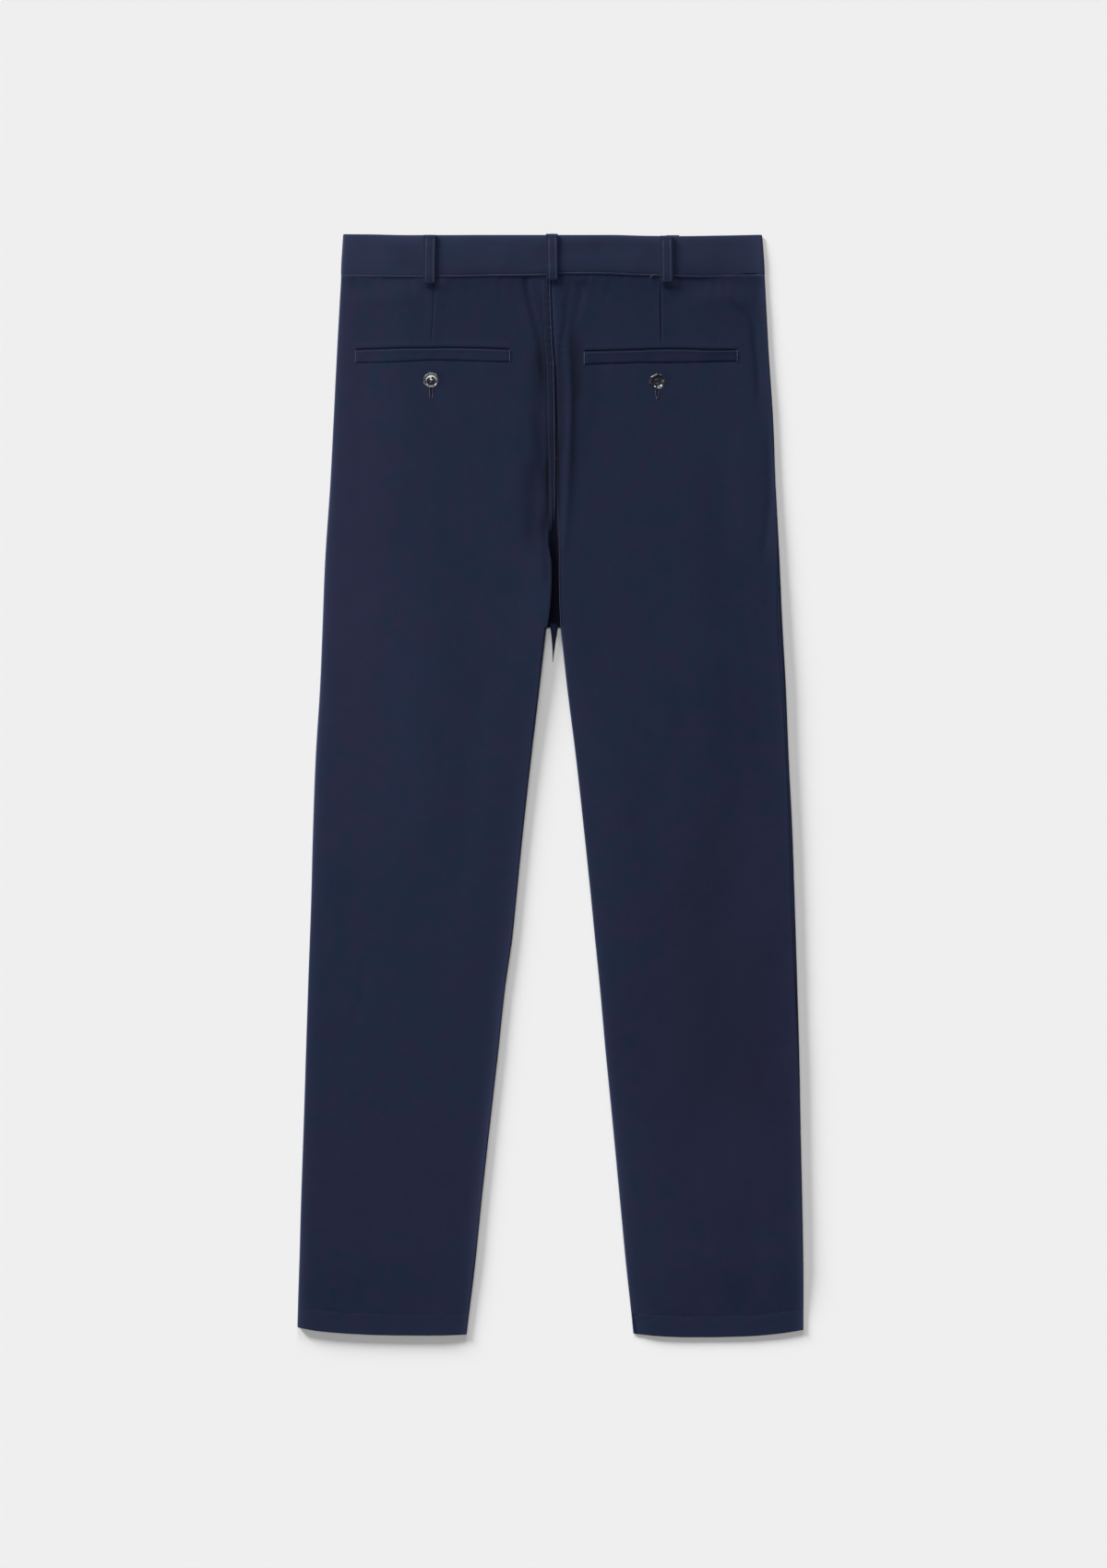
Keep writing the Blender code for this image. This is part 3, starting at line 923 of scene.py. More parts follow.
    def height(self, out: Array, y: Array) -> Array:
        """The crown, sunk by the valley at the centre seam: seam + (crown - seam)(1 - (1 - s)^p).

        Args:
            out: Distances out.
            y: Places up.

        Returns:
            Heights.
        """
        crown, seam = self.crown(out, y), self.seam.at(y)
        channel, reach = self.channel.at(y), self.valley.at(y)
        share = np.clip((out - self.inner_edge(y) - channel) / (reach - channel), 0.0, 1.0)
        sunk = seam + (crown - seam) * (1.0 - (1.0 - share) ** self.valley_power)
        return np.where(y < CROTCH_Y, crown, sunk)

    def sections(self, y: Array) -> Sections:
        """Sections at several distances up, each from the centre front by the side to the back.

        The side edge is half an ellipse over and half under its middle. A leg's inner edge is two
        quarters of one. Above the crotch the section ends in the valley at the centre back seam.

        Args:
            y: Distances up, one for each section.

        Returns:
            The sections.
        """
        y = y[:, None]
        in_leg = y < CROTCH_Y
        floor, outer, inner = self.floor(y), self.side.at(y), self.inner_edge(y)
        side_top = self.crown(outer - self.edge_top, y)
        side_foot = floor * self.side_floor
        radius = (side_top - side_foot) / 2
        quarter = np.linspace(0.0, math.pi / 2, 14)[None]
        lip = self.crown(inner + self.inner_top, y)

        front = self.sign * self.centre_front.at(y) + SEAM_GAP / 2
        start_out = np.where(
            in_leg,
            inner + self.inner_under * (1.0 - np.cos(quarter)),
            front + self.inner_under * quarter / quarter.max(),
        )
        start_z = np.where(in_leg, lip / 2 * (1.0 - np.sin(quarter)), floor)
        turn = np.linspace(-math.pi / 2, math.pi / 2, 33)[None]
        width = np.where(turn < 0.0, self.edge_under, self.edge_top)
        round_out = outer - width + width * np.cos(turn)
        round_z = side_foot + radius + radius * np.sin(turn)

        reach = np.where(in_leg, self.inner_top, self.valley.at(y))
        flank = outer - self.edge_top
        body_out = flank + (inner + reach - flank) * np.linspace(0.0, 1.0, 90)[None, 1:]
        body_z = self.crown(body_out, y)
        settle = smoothstep((flank - body_out) / 14.0)
        body_z = side_top + (body_z - side_top) * settle
        back = quarter[:, ::-1][:, 1:]
        leg_end_out = inner + self.inner_top * (1.0 - np.cos(back))
        leg_end_z = lip / 2 + (body_z[:, -1:] - lip / 2) * np.sin(back)
        end_out = np.where(in_leg, leg_end_out, inner + reach * (back / (math.pi / 2)))
        end_z = np.where(in_leg, leg_end_z, self.height(end_out, y))

        pieces_out = (start_out, round_out, body_out, end_out)
        pieces_z = (start_z, round_z, body_z, end_z)
        line = stacked(np.concatenate(pieces_out, axis=1), np.concatenate(pieces_z, axis=1))
        step = np.linalg.norm(np.diff(line, axis=1), axis=-1)
        length = np.concatenate([np.zeros((len(y), 1)), np.cumsum(step, axis=1)], axis=1)
        tangent = np.zeros_like(line)
        tangent[:, 1:-1] = line[:, 2:] - line[:, :-2]
        tangent[:, 0], tangent[:, -1] = line[:, 1] - line[:, 0], line[:, -1] - line[:, -2]
        in_leg = in_leg[:, 0]
        tangent[in_leg, 0], tangent[in_leg, -1] = (0.0, -1.0), (0.0, -1.0)
        tangent = unit(tangent)
        ends = np.cumsum([part.shape[1] for part in pieces_out])
        return Sections(
            length=length,
            line=line,
            normal=stacked(tangent[..., 1], -tangent[..., 0]),
            floor_start=length[:, ends[0] - 1, None],
            floor_end=length[:, ends[0], None],
            edge=length[:, ends[0] + 16, None],
            flank=length[:, ends[1] - 1, None],
            inner=length[:, ends[2] - 1, None],
            end=length[:, -1:],
        )

    def bent(self, out: Array, y: Array) -> Array:
        """Distance up, with the lowest rows lifted to follow the hem's curved edge.

        Args:
            out: Distances out.
            y: Places up.

        Returns:
            Distances up after the bend.
        """
        inner, outer = self.inner_edge(y), self.side.at(y)
        share = np.clip((out - inner) / (outer - inner), 0.0, 1.0)
        lift = np.maximum(self.hem.at(share), 0.0)
        low = self.hem_bend_y - HEM_Y - HEM_DEPTH
        return y + lift * smoothstep((self.hem_bend_y - y) / low)

    def back_relief(self, x: Array, y: Array, row: Array) -> Array:
        """Small forms on the upper face: creases, seam puckers, the hem's and the lap's edges.

        Args:
            x: Places across.
            y: Places up.
            row: Distance up before the hem's bend.

        Returns:
            Height above the crown, in millimetres.
        """
        total = sum(crease.relief(x, y) for crease in self.creases)
        total = total + 0.10 * ripples(x, y, 70.0, self.seed, stretch=3.2)
        total = total + 0.035 * ripples(x, y, 22.0, self.seed + 1, stretch=2.0)
        under_band = smoothstep((y - 450.0) / 26.0)
        total = total + 0.10 * under_band * ripples(x, y, 11.0, self.seed + 2, stretch=6.0)
        from_seam = self.sign * x - self.inner_edge(y)
        at_seam = bell(from_seam, 11.0) * (y > CROTCH_Y)
        total = total + 0.07 * at_seam * ripples(x, y * 2.4, 13.0, self.seed + 3)
        if self.lapped:
            strip = 1.0 - smoothstep((from_seam - 8.6) / 1.4)
            rows = bell(from_seam - 1.9, 0.8) + 0.7 * bell(from_seam - self.outer_row.at(y), 0.8)
            above = smoothstep((y - 222.0) / 16.0)
            pucker = ripples(x * 0.3, y, 3.4, self.seed + 7) * bell(from_seam - 5.0, 4.0)
            total = total + above * (0.06 * strip - 0.20 * rows + 0.07 * pucker)
        else:
            total = total - 0.42 * bell(from_seam, 1.5) * (y > CROTCH_Y)
        total = total - 0.07 * bell(row - (HEM_Y + HEM_DEPTH), 1.3)
        near_hem = bell(row - (HEM_Y + HEM_DEPTH), 7.0)
        return total + 0.06 * near_hem * ripples(x, y, 12.0, self.seed + 4, stretch=0.8)

    def front_relief(self, x: Array, y: Array, row: Array) -> Array:
        """The floor side lies flat, so its small forms are troughs alone, up off the floor.

        Args:
            x: Places across.
            y: Places up.
            row: Distance up before the hem's bend.

        Returns:
            Height out of the face, never above 0, in millimetres.
        """
        soft = 0.16 * ripples(x, y, 80.0, self.seed + 5, stretch=2.6)
        soft = soft + 0.08 * ripples(x, y, 26.0, self.seed + 6, stretch=1.6)
        hem = 0.25 * bell(row - (HEM_Y + HEM_DEPTH), 1.6)
        return np.minimum(soft - 0.14, 0.0) - hem

    def on_panel(
        self, face: Face, y: Array, length: Array, raised: float = 0.0
    ) -> tuple[Array, Array]:
        """Places on a panel, for sewing that follows it.

        Args:
            face: The panel's face.
            y: Distances up, before the hem's bend.
            length: Length round the section at each of them.
            raised: How far out of the face.

        Returns:
            Points and unit normals, n by 3.
        """
        point, normal = self.sections(y).pick(length[:, None])
        point, normal = point[:, 0], normal[:, 0]
        x, up = self.sign * point[:, 0], self.bent(point[:, 0], y)
        relief = self.back_relief if face is Face.BACK else self.front_relief
        lift = relief(x, up, y) * np.abs(normal[:, 1]) + raised
        outward_normal = stacked(self.sign * normal[:, 0], np.zeros(len(y)), normal[:, 1])
        return stacked(x, up, point[:, 1]) + outward_normal * lift[:, None], outward_normal

    def top(self, x: Array, y: Array) -> Array:
        """Height of the upper face with its small forms, away from the side edge."""
        return self.height(self.sign * x, y) + self.back_relief(x, y, y)


@dataclass(frozen=True)
class Pocket:
    """A welt pocket on a back panel: the welt's upper and lower edge, dart, and button."""

    leg: Leg
    upper: Curve
    lower: Curve
    inner: float
    outer: float
    button: tuple[float, float]
    dart: Crease
    dart_shade: float
    tilt: tuple[float, float]
    tacks: tuple[float, ...]
    hole: tuple[float, float]
    # Painted shade in the slit, along the lower seam and over the whole welt.
    slit_tone: float = 0.7
    seam_tone: float = 0.15
    welt_tone: float = 0.0

    def relief(self, x: Array, y: Array) -> Array:
        """What the pocket does to its panel: a slit over the welt, a seam under it and a dart.

        Args:
            x: Places across.
            y: Places up.

        Returns:
            Height above the panel.
        """
        low, high = sorted((self.inner, self.outer))
        inside = window(x, low, high, 1.5)
        slit = bell(y - self.upper.at(x) - 0.6, 0.7)
        seam = 0.6 * bell(y - self.lower.at(x) + 0.3, 1.2)
        raised = bell(y - self.upper.at(x) - 4.0, 2.6)
        from_button = np.hypot(x - self.button[0], y - self.button[1])
        puff = Crease(self.dart.points, 0.16, 5.5, 5.5)
        return (
            inside * (0.16 * raised - 0.8 * slit - 0.22 * seam)
            - 0.3 * bell(from_button, 7.5)
            + self.dart.relief(x, y)
            + puff.relief(x, y)
        )

    def shade(self, x: Array, y: Array) -> Array:
        """Painted shade in the slit and along the welt's lower seam, and darker on the dart's line,
        from 0 to 1.

        Args:
            x: Places across.
            y: Places up.

        Returns:
            The painted shade at each place.
        """
        low, high = sorted((self.inner, self.outer))
        inside = window(x, low - 0.5, high + 0.5, 1.2)
        slit = self.slit_tone * inside * bell(y - self.upper.at(x) - 0.5, 0.75)
        seam = self.seam_tone * inside * bell(y - self.lower.at(x) + 0.3, 1.1)
        line = Crease(self.dart.points, self.dart_shade, 0.75, 0.75).relief(x, y)
        return slit + seam + line


@dataclass(frozen=True)
class Panel:
    """One panel as a thin shell of cloth, on the same form as its solid."""

    leg: Leg
    face: Face
    pocket: Pocket | None = None
    top_y: float = 484.0
    tuck_y: float = 481.4
    hem_wall: float = 1.25
    mouth_foot: float = 280.0
    mouth_head: float = 462.0
    mouth_width: float = 2.0
    tuck: tuple[float, ...] = (0.0, 0.1, 0.3, 0.65, 1.1)

    @property
    def name(self) -> str:
        """The CAD node that it stands for."""
        return f"{self.face.value}_{self.leg.half.word}"

    def rows(self) -> Array:
        """Distances up of the rows: close at the seams, the pocket, the crotch and the hem.

        Returns:
            The distances up, from the top down.
        """
        fine = self.face is Face.BACK
        spans = (
            (self.top_y, 470.0, 0.9 if fine else 2.0),
            (470.0, 418.0, 1.6 if fine else 4.0),
            (418.0, 408.0, 0.55 if fine else 4.0),
            (408.0, 402.0, 1.5 if fine else 4.0),
            (402.0, 396.0, 0.75 if fine else 4.0),
            (396.0, CROTCH_Y, 2.1 if fine else 4.0),
            (CROTCH_Y - 1.2, 140.0, 1.2),
            (140.0, 40.0, 3.4),
            (40.0, HEM_Y + HEM_DEPTH + 3.0, 5.6),
            (HEM_Y + HEM_DEPTH + 3.0, HEM_Y + HEM_DEPTH - 3.0, 1.0),
            (HEM_Y + HEM_DEPTH - 3.0, HEM_Y + 1.5, 1.7),
        )
        joined_rows = [np.arange(high, low, -step) for high, low, step in spans]
        joined_rows.insert(6, np.array([CROTCH_Y]))
        return np.concatenate([*joined_rows, HEM_Y + np.array([1.2, 0.7, 0.35, 0.12, 0.0])])

    def columns(self, at: Sections, y: Array) -> Array:
        """Lengths round the sections, from one border of the panel to the other.

        Args:
            at: The sections.
            y: Their distances up, as a column.

        Returns:
            Lengths, a row for each section.
        """
        leg, tuck = self.leg, np.array(self.tuck)[None]
        in_leg = y < CROTCH_Y
        seam = at.edge + leg.wrap.at(y)
        last = tuck[0, -1]
        if self.face is Face.BACK:
            start = seam + SEAM_GAP / 2
            end = at.end - np.where(in_leg, SEAM_GAP / 2, 0.0)
            flank = np.maximum(at.flank, start + 3.0)
            dart = Curve(tuple((up, leg.sign * x) for x, up in self.pocket.dart.points)).at(y)
            dart = at.flank + leg.side.at(y) - leg.edge_top - dart
            spread = np.interp(np.linspace(0, 1, 42), (0, 0.6, 1), (0, 0.46, 1))
            close = np.interp(np.linspace(0, 1, 54), (0, 0.35, 1), (0, 0.48, 1))
            marks = ((start + last, flank, np.linspace(0, 1, 10)[1:-1]),
                     (flank, dart - 3.0, spread[:-1]),
                     (dart - 3.0, dart + 3.0, np.linspace(0, 1, 13)),
                     (dart + 3.0, at.inner, close[1:]),
                     (at.inner, end - last, np.linspace(0, 1, 14)[1:-1]))
        else:
            ramp = window(y, self.mouth_foot, self.mouth_head, 8.0)
            start = np.where(in_leg, SEAM_GAP / 2, 0.0)
            end = seam - SEAM_GAP / 2 - self.mouth_width * ramp
            near = np.linspace(0, 1, 46)
            marks = ((start + last, at.floor_start, np.linspace(0, 1, 8)[1:-1]),
                     (at.floor_start, at.floor_end, near),
                     (at.floor_end, end - last, np.linspace(0, 1, 9)[1:-1]))
        inside = [low + (high - low) * share[None] for low, high, share in marks]
        return np.concatenate([start + tuck, *inside, end - tuck[:, ::-1]], axis=1)

    def shell(self) -> tuple[Soup, float, tuple[float, float]]:
        """The panel's mesh, with its flat area and size.

        The outer face is the section plus its small forms along the normal. The cloth is as thick
        as its wall, thicker over the hem, and thins to a round edge at its borders.

        Returns:
            The mesh, its area in square metres, and its width and length in metres.
        """
        leg = self.leg
        row = self.rows()
        at = leg.sections(row)
        wanted = self.columns(at, row[:, None])
        point, normal = at.pick(wanted)
        out = point[..., 0]
        level = np.broadcast_to(row[:, None], out.shape)
        up, x = leg.bent(out, level), leg.sign * out
        weight = np.abs(normal[..., 1])
        if self.face is Face.BACK:
            relief = leg.back_relief(x, up, level) * weight
            relief = relief + self.pocket.relief(x, up) * weight
            # Painted shade of the valley, slit and patches, less the painted light and sheen of the
            # edges.
            shade = self.valley_shade(out, level) + self.pocket.shade(x, up)
            shade = shade + sum(patch.relief(x, up) for patch in leg.shades)
            shade = np.minimum(shade, 0.98) - self.wear(out, level)
        else:
            relief = leg.front_relief(x, up, level) * weight
            shade = np.zeros_like(out)
        sunk = smoothstep((level - self.tuck_y) / (self.top_y - self.tuck_y))
        relief = relief - sunk * (1.2 if self.face is Face.BACK else 0.8)
        border = np.minimum(wanted - wanted[:, :1], wanted[:, -1:] - wanted)
        relief = relief - 0.14 * bell(border, 1.3)
        wall = np.where(level <= HEM_Y + HEM_DEPTH, self.hem_wall, CLOTH_WALL)
        nearest = np.minimum(border, level - HEM_Y)
        round_edge = np.sqrt(np.clip(1.0 - (1.0 - np.clip(nearest / (wall / 2), 0, 1)) ** 2, 0, 1))
        thin = wall / 2 * (1.0 - np.maximum(round_edge, 0.18))
        direction = stacked(leg.sign * normal[..., 0], np.zeros_like(out), normal[..., 1])
        middle = stacked(x, up, point[..., 1])
        outer = middle + direction * (relief - thin)[..., None]
        inner = middle + direction * (relief - wall + thin)[..., None]
        cloth = stacked(wanted, up)
        edge = np.linalg.norm(np.diff(outer, axis=1), axis=-1)
        tall = np.linalg.norm(np.diff(outer, axis=0), axis=-1)
        cell = (edge[:-1] + edge[1:]) / 2 * (tall[:, :-1] + tall[:, 1:]) / 2
        area = float(cell.sum()) * MM * MM
        size = (float(edge.sum(1).max()) * MM, float(tall.sum(0).max()) * MM)
        return cloth_shell(outer, inner, cloth, shade), area, size

    def valley_shade(self, out: Array, y: Array) -> Array:
        """Painted shade over the centre seam's strip and groove and in the valley, from 0 to 1.

        Args:
            out: Distances out.
            y: Places up.

        Returns:
            The tone at each place.
        """
        leg = self.leg
        from_seam = out - leg.inner_edge(y)
        beside = leg.dusk.at(y) * smoothstep((leg.dark_reach.at(y) + 0.6 - from_seam) / 1.2)
        line = leg.groove.at(y) * bell(from_seam, 0.9)
        return np.where(y < CROTCH_Y, 0.0, np.minimum(beside + line * (1.0 - beside), 0.98))

    def wear(self, out: Array, y: Array) -> Array:
        """Paler colour along the folded edges, painted sheen and light that is partly real fading,
        and over the hem, from 0 to 1.

        Args:
            out: Distances out.
            y: Places up.

        Returns:
            The tone at each place.
        """
        leg = self.leg
        from_side, from_inner = leg.side.at(y) - out, out - leg.inner_edge(y)
        side = leg.edge_wear.at(y) * (0.6 * bell(from_side, 2.8) + 0.4 * bell(from_side, 8.0))
        inner = leg.inner_wear.at(y) * (0.65 * bell(from_inner, 3.0) + 0.35 * bell(from_inner, 9.0))
        hem = 0.04 * smoothstep((HEM_Y + HEM_DEPTH + 2.0 - y) / 4.0)
        return side + inner * (y < CROTCH_Y) + hem

    def dressed(self, finishes: Finishes) -> tuple[bpy.types.Object, float, tuple[float, float]]:
        """The panel's piece with its finish, riding on the body and standing for its node."""
        soup, area, size = self.shell()
        return fitted(f"{self.name}_cloth", soup, finishes.twill, Slot.TWILL, self.name), area, size


def worn(piece: bpy.types.Object, slot: Slot, *nodes: str) -> None:
    """Rides a piece on the one body and hides the nodes that it stands for.

    Args:
        piece: The piece.
        slot: Its material slot, not used.
        nodes: The nodes that it stands for, if any.
    """
    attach(piece, "root")
    if nodes:
        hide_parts(*nodes)
    log.info("%s: %d faces", piece.name, len(piece.data.polygons))


def fitted(
    name: str, soup: Soup, material: bpy.types.Material, slot: Slot, *nodes: str, sharp: float = 50.0
) -> bpy.types.Object:
    """Makes a piece and rides it on the body.

    Args:
        name: The piece's name.
        soup: Its mesh.
        material: Its finish.
        slot: Its material slot.
        nodes: The CAD nodes that it stands for.
        sharp: Edges that turn by more than this many degrees stay sharp.

    Returns:
        The piece.
    """
    piece = make_piece(name, soup, material, sharp)
    worn(piece, slot, *nodes)
    return piece


# ---------------------------------------------------------------- sewing


@dataclass(frozen=True)
class Stitching:
    """A kind of stitch: its length, its pitch, and the thread's width and height."""

    long: float = 1.45
    pitch: float = 2.1
    wide: float = 0.55
    high: float = 0.42

    def grain(self) -> Array:
        """One stitch along +X: five rings of six points, round and tapered to both ends.

        Returns:
            Its 30 points.
        """
        place = np.array([-0.5, -0.38, 0.0, 0.38, 0.5])[:, None]
        girth = np.array([0.35, 0.8, 1.0, 0.8, 0.35])[:, None]
        angle = (np.arange(6) * TAU / 6)[None]
        return np.stack([
            np.broadcast_to(place * self.long, (5, 6)),
            girth * self.wide / 2 * np.cos(angle),
            girth * self.high / 2 * np.sin(angle) + (girth - 1.0) * self.high * 0.35,
        ], axis=-1).reshape(-1, 3)

    def set_at(self, centre: Array, along: Array, up: Array) -> Soup:
        """Stitches at given places: each is centre + x * along + y * across + z * up.

        Args:
            centre: Middles of the stitches, n by 3.
            along: Unit vectors along them.
            up: Unit vectors out of the cloth.

        Returns:
            All the stitches as one mesh.
        """
        grain = self.grain()
        across = unit(np.cross(up, along))
        points = (
            centre[:, None]
            + grain[None, :, :1] * along[:, None]
            + grain[None, :, 1:2] * across[:, None]
            + grain[None, :, 2:] * up[:, None]
        )
        first = (np.arange(len(centre)) * len(grain))[:, None, None]
        faces = (ring_faces(5, 6)[None] + first).reshape(-1, 4)
        return Soup.of(points.reshape(-1, 3), faces)

    def row(self, path: Array, up: Array, seed: int = 1) -> Soup:
        """A row of stitches at even steps along a path, each a little out of line.

        Args:
            path: Points of the row, n by 3.
            up: Unit vectors out of the cloth there.
            seed: What fixes the unevenness.

        Returns:
            The row as one mesh.
        """
        length = lengths(path)
        count = max(2, int(length[-1] / self.pitch))
        at = (np.arange(count) + 0.5) * length[-1] / count
        draw = np.random.default_rng(seed)
        at = at + draw.normal(0.0, 0.06, count)

        def along_path(values: Array, where: Array) -> Array:
            """Values between the path's points, straight by length."""
            return stacked(*(np.interp(where, length, values[:, i]) for i in range(3)))

        out = unit(along_path(up, at))
        ahead = along_path(path, at + 0.6) - along_path(path, at - 0.6)
        forward = unit(ahead)
        across = np.cross(out, forward)
        centre = along_path(path, at) + across * draw.normal(0.0, 0.05, count)[:, None]
        skew = forward + across * draw.normal(0.04, 0.05, count)[:, None]
        return self.set_at(centre, unit(skew), out)


TOPSTITCH = Stitching()
FINE_STITCH = Stitching(long=1.5, pitch=2.3, wide=0.30, high=0.2)


def bar_tack(centre: Array, along: Array, up: Array, length: float, width: float) -> Soup:
    """A bar tack: close stitches across a line, each width long.

    Args:
        centre: Middle of the tack.
        along: Unit vector along the tack.
        up: Unit vector out of the cloth.
        length: Length of the tack.
        width: Length of its stitches.

    Returns:
        The tack as one mesh.
    """
    kind = Stitching(long=width, pitch=0.42, wide=0.36, high=0.34)
    count = int(length / kind.pitch)
    at = (np.arange(count) - (count - 1) / 2) * kind.pitch
    across = np.cross(up, along)
    lean = np.where(np.arange(count) % 2 == 0, 0.10, -0.10)[:, None]
    return kind.set_at(
        centre[None] + at[:, None] * along[None],
        unit(across[None] + lean * along[None]),
        np.broadcast_to(up, (count, 3)),
    )


def tube(path: Array, radius: float, flat: Array, sides: int = 8) -> Soup:
    """A round thread along a path: circles square to it, by the cross products of its tangent.

    Args:
        path: Points of its middle.
        radius: Its radius.
        flat: A vector across the path, from which the circles' points start.
        sides: Points round it.

    Returns:
        The thread's mesh.
    """
    tangent = unit(np.gradient(path, axis=0))
    side = unit(np.cross(tangent, np.broadcast_to(flat, path.shape)))
    angle = np.arange(sides) * TAU / sides
    ring = radius * stacked(np.cos(angle), np.sin(angle))
    return swept(path, side, unit(np.cross(side, tangent)), ring)


# ---------------------------------------------------------------- the waistband and its loops


@dataclass(frozen=True)
class Waistband:
    """The band in two halves that meet at the centre back; the left end laps over at the front."""

    left: Leg
    right: Leg
    wall: float = 1.8
    lap: float = 24.0
    top: Curve = Curve((
        (-195, 520.8), (-165, 520.4), (-145, 519.7), (-110, 519.4), (-60, 519.5), (0, 519.5),
        (40, 519.5), (60, 519.5), (90, 518.7), (125, 518.5), (160, 519.3), (199, 520.3),
    ))
    foot: Curve = Curve((
        (-198, 480), (-177, 479.5), (-145, 478.7), (-92, 478.7), (-49, 479.5), (-6, 480.2),
        (9, 481.2), (30, 481.6), (60, 481.2), (82, 480.2), (110, 479.2), (134, 478.6), (178, 479.5),
        (203, 480),
    ))
    crown: Curve = Curve((
        (0, -0.1), (0.022, 0), (0.048, -0.22), (0.08, 0.08), (0.16, 0.34), (0.3, 0.48), (0.5, 0.36),
        (0.7, 0), (0.86, -0.5), (0.95, -0.95), (1, -1.35),
    ))
    row_y: float = 482.0
    front_drop: float = 4.0
    droop: float = 4.3
    droop_from: float = 104.0
    droop_width: float = 90.0
    thinning: float = 0.58
    front_count: int = 95
    turn_count: int = 23
    back_count: int = 149
    middle_point: int = 12
    # Painted shade beside the loops, a painted shadow along the left end's lower edge, painted light
    # at the right end.
    shades: tuple[Crease, ...] = (
        Crease(((-20, 508), (3, 508.5), (26, 508), (60, 507)), 0.16, 6, 6),
        Crease(((100, 512), (60, 511), (20, 513)), 0.08, 5, 5),
        Crease(((-134, 512), (-134, 484)), 0.2, 16, 16),
        Crease(((-10, 512), (-10, 488)), 0.15, 9, 9),
        Crease(((97, 514), (97, 494)), 0.12, 10, 10),
        Crease(((-230, 481.3), (-190, 481.1), (-145, 479.8), (-105, 479.8)), 0.4, 0.9, 0.9),
        Crease(((100, 500), (160, 500), (190, 500), (260, 500)), -0.2, 24, 24),
    )

    def lowered(self, out: Array) -> Array:
        """How far the band droops towards its folded ends: droop times a soft ramp."""
        return self.droop * smoothstep((out - self.droop_from) / self.droop_width)

    def ring(self) -> tuple[Array, Array]:
        """One turn round the band's own section.

        Returns:
            The share of the way up, and the depth in from the outer face.
        """
        face = np.concatenate([
            [0.022], [0.034, 0.045, 0.06, 0.08], np.linspace(0.11, 0.93, 22), [0.955, 0.972, 0.984]
        ])
        inside = np.linspace(0.95, 0.05, 12)
        share = np.concatenate([[0.004], face, [0.993, 1.0, 0.993], inside, [0.004]])
        half = self.wall / 2
        depth = np.concatenate([
            [half * 0.55], [half * 0.12], np.zeros(len(face) - 2), [half * 0.10],
            [half * 0.35, half, 2 * half - half * 0.35], np.full(len(inside), self.wall),
            [self.wall - half * 0.55],
        ])
        return share, depth

    def half_band(self, leg: Leg) -> tuple[Soup, float, tuple[float, float]]:
        """One half: its own section carried from the front end round the side to the centre back.

        Args:
            leg: The half that it closes.

        Returns:
            The mesh, its area in square metres, and its width and length in metres.
        """
        share, depth = self.ring()
        share, depth = share[None], depth[None]
        radius = (BAND_BACK_Z - BAND_FRONT_Z) / 2
        counts = (self.front_count, self.turn_count, self.back_count)
        quarter = math.pi / 2
        turn = np.linspace(-quarter, quarter, self.turn_count)
        front = np.linspace(0.0, 1.0, self.front_count + 1)[:-1]
        back = np.linspace(0.0, 1.0, self.back_count + 1)[1:]
        kind = np.repeat([0, 1, 2], counts)[:, None]
        mix = np.concatenate([front, np.zeros(self.turn_count), back])[:, None]
        angle = np.repeat([-quarter, 0.0, quarter], counts)
        angle[kind[:, 0] == 1] = turn
        angle = angle[:, None]
        middle_y = self.foot.at(leg.sign * 190.0) + share * (WAIST_Y - WAIST_SEAM_Y)
        flank = leg.side.at(middle_y) - radius
        front_end = leg.sign * self.lap + SEAM_GAP / 2
        out = np.where(kind == 0, front_end + (flank - front_end) * mix, flank)
        out = np.where(kind == 2, flank + (leg.centre_seam(middle_y) - flank) * mix, out)
        x = leg.sign * out
        foot = np.where(kind == 2, self.foot.at(x), self.foot.at(leg.sign * 198.0))
        top = np.where(kind == 2, self.top.at(x), self.top.at(leg.sign * 195.0))
        top = top - (kind == 0) * self.front_drop * smoothstep((1.0 - mix) / 0.12)
        foot = np.where(kind == 0, 480.3, foot)
        y = foot + share * (top - foot)
        facing = smoothstep((angle + 0.6) / 1.6)
        sag = 0.10 * ripples(x, y, 34.0, leg.seed + 8, stretch=1.4)
        sag = sag + 0.06 * bell(share - 0.03, 0.10) * ripples(x, y, 7.0, leg.seed + 9, stretch=3.0)
        rise = facing * (self.crown.at(share) + sag)
        rise = rise - (1.0 - facing) * (0.25 * bell(share - 0.045, 0.02) + 0.02)
        low = self.lowered(out)
        slim = 1.0 - self.thinning * low / self.droop
        inward = depth - rise
        z = BAND_FRONT_Z + radius - low + slim * (radius - inward) * np.sin(angle)
        points = stacked(leg.sign * (out + (radius - inward) * np.cos(angle)), y, z)
        faces = ring_faces(*points.shape[:2])
        run = lengths(points[:, self.middle_point])[:, None]
        cloth = stacked(np.broadcast_to(run, y.shape), y)
        # Paler towards the folded ends, painted sheen and light that is partly real fading, and along
        # the top edge, painted light from above.
        from_side = leg.side.at(y) - leg.sign * points[..., 0]
        wear = 0.55 * bell(from_side, 3.0) + 0.26 * bell(from_side, 13.0)
        wear = wear + 0.24 * bell(top - y, 3.6) * (kind == 2)
        shade = sum(patch.relief(x, y) for patch in self.shades) * (kind == 2) - wear
        soup = Soup.of(points.reshape(-1, 3), faces, cloth.reshape(-1, 2), shade.ravel())
        long, tall = float(run[-1, 0]), WAIST_Y - WAIST_SEAM_Y
        return soup, long * tall * MM * MM, (long * MM, tall * MM)

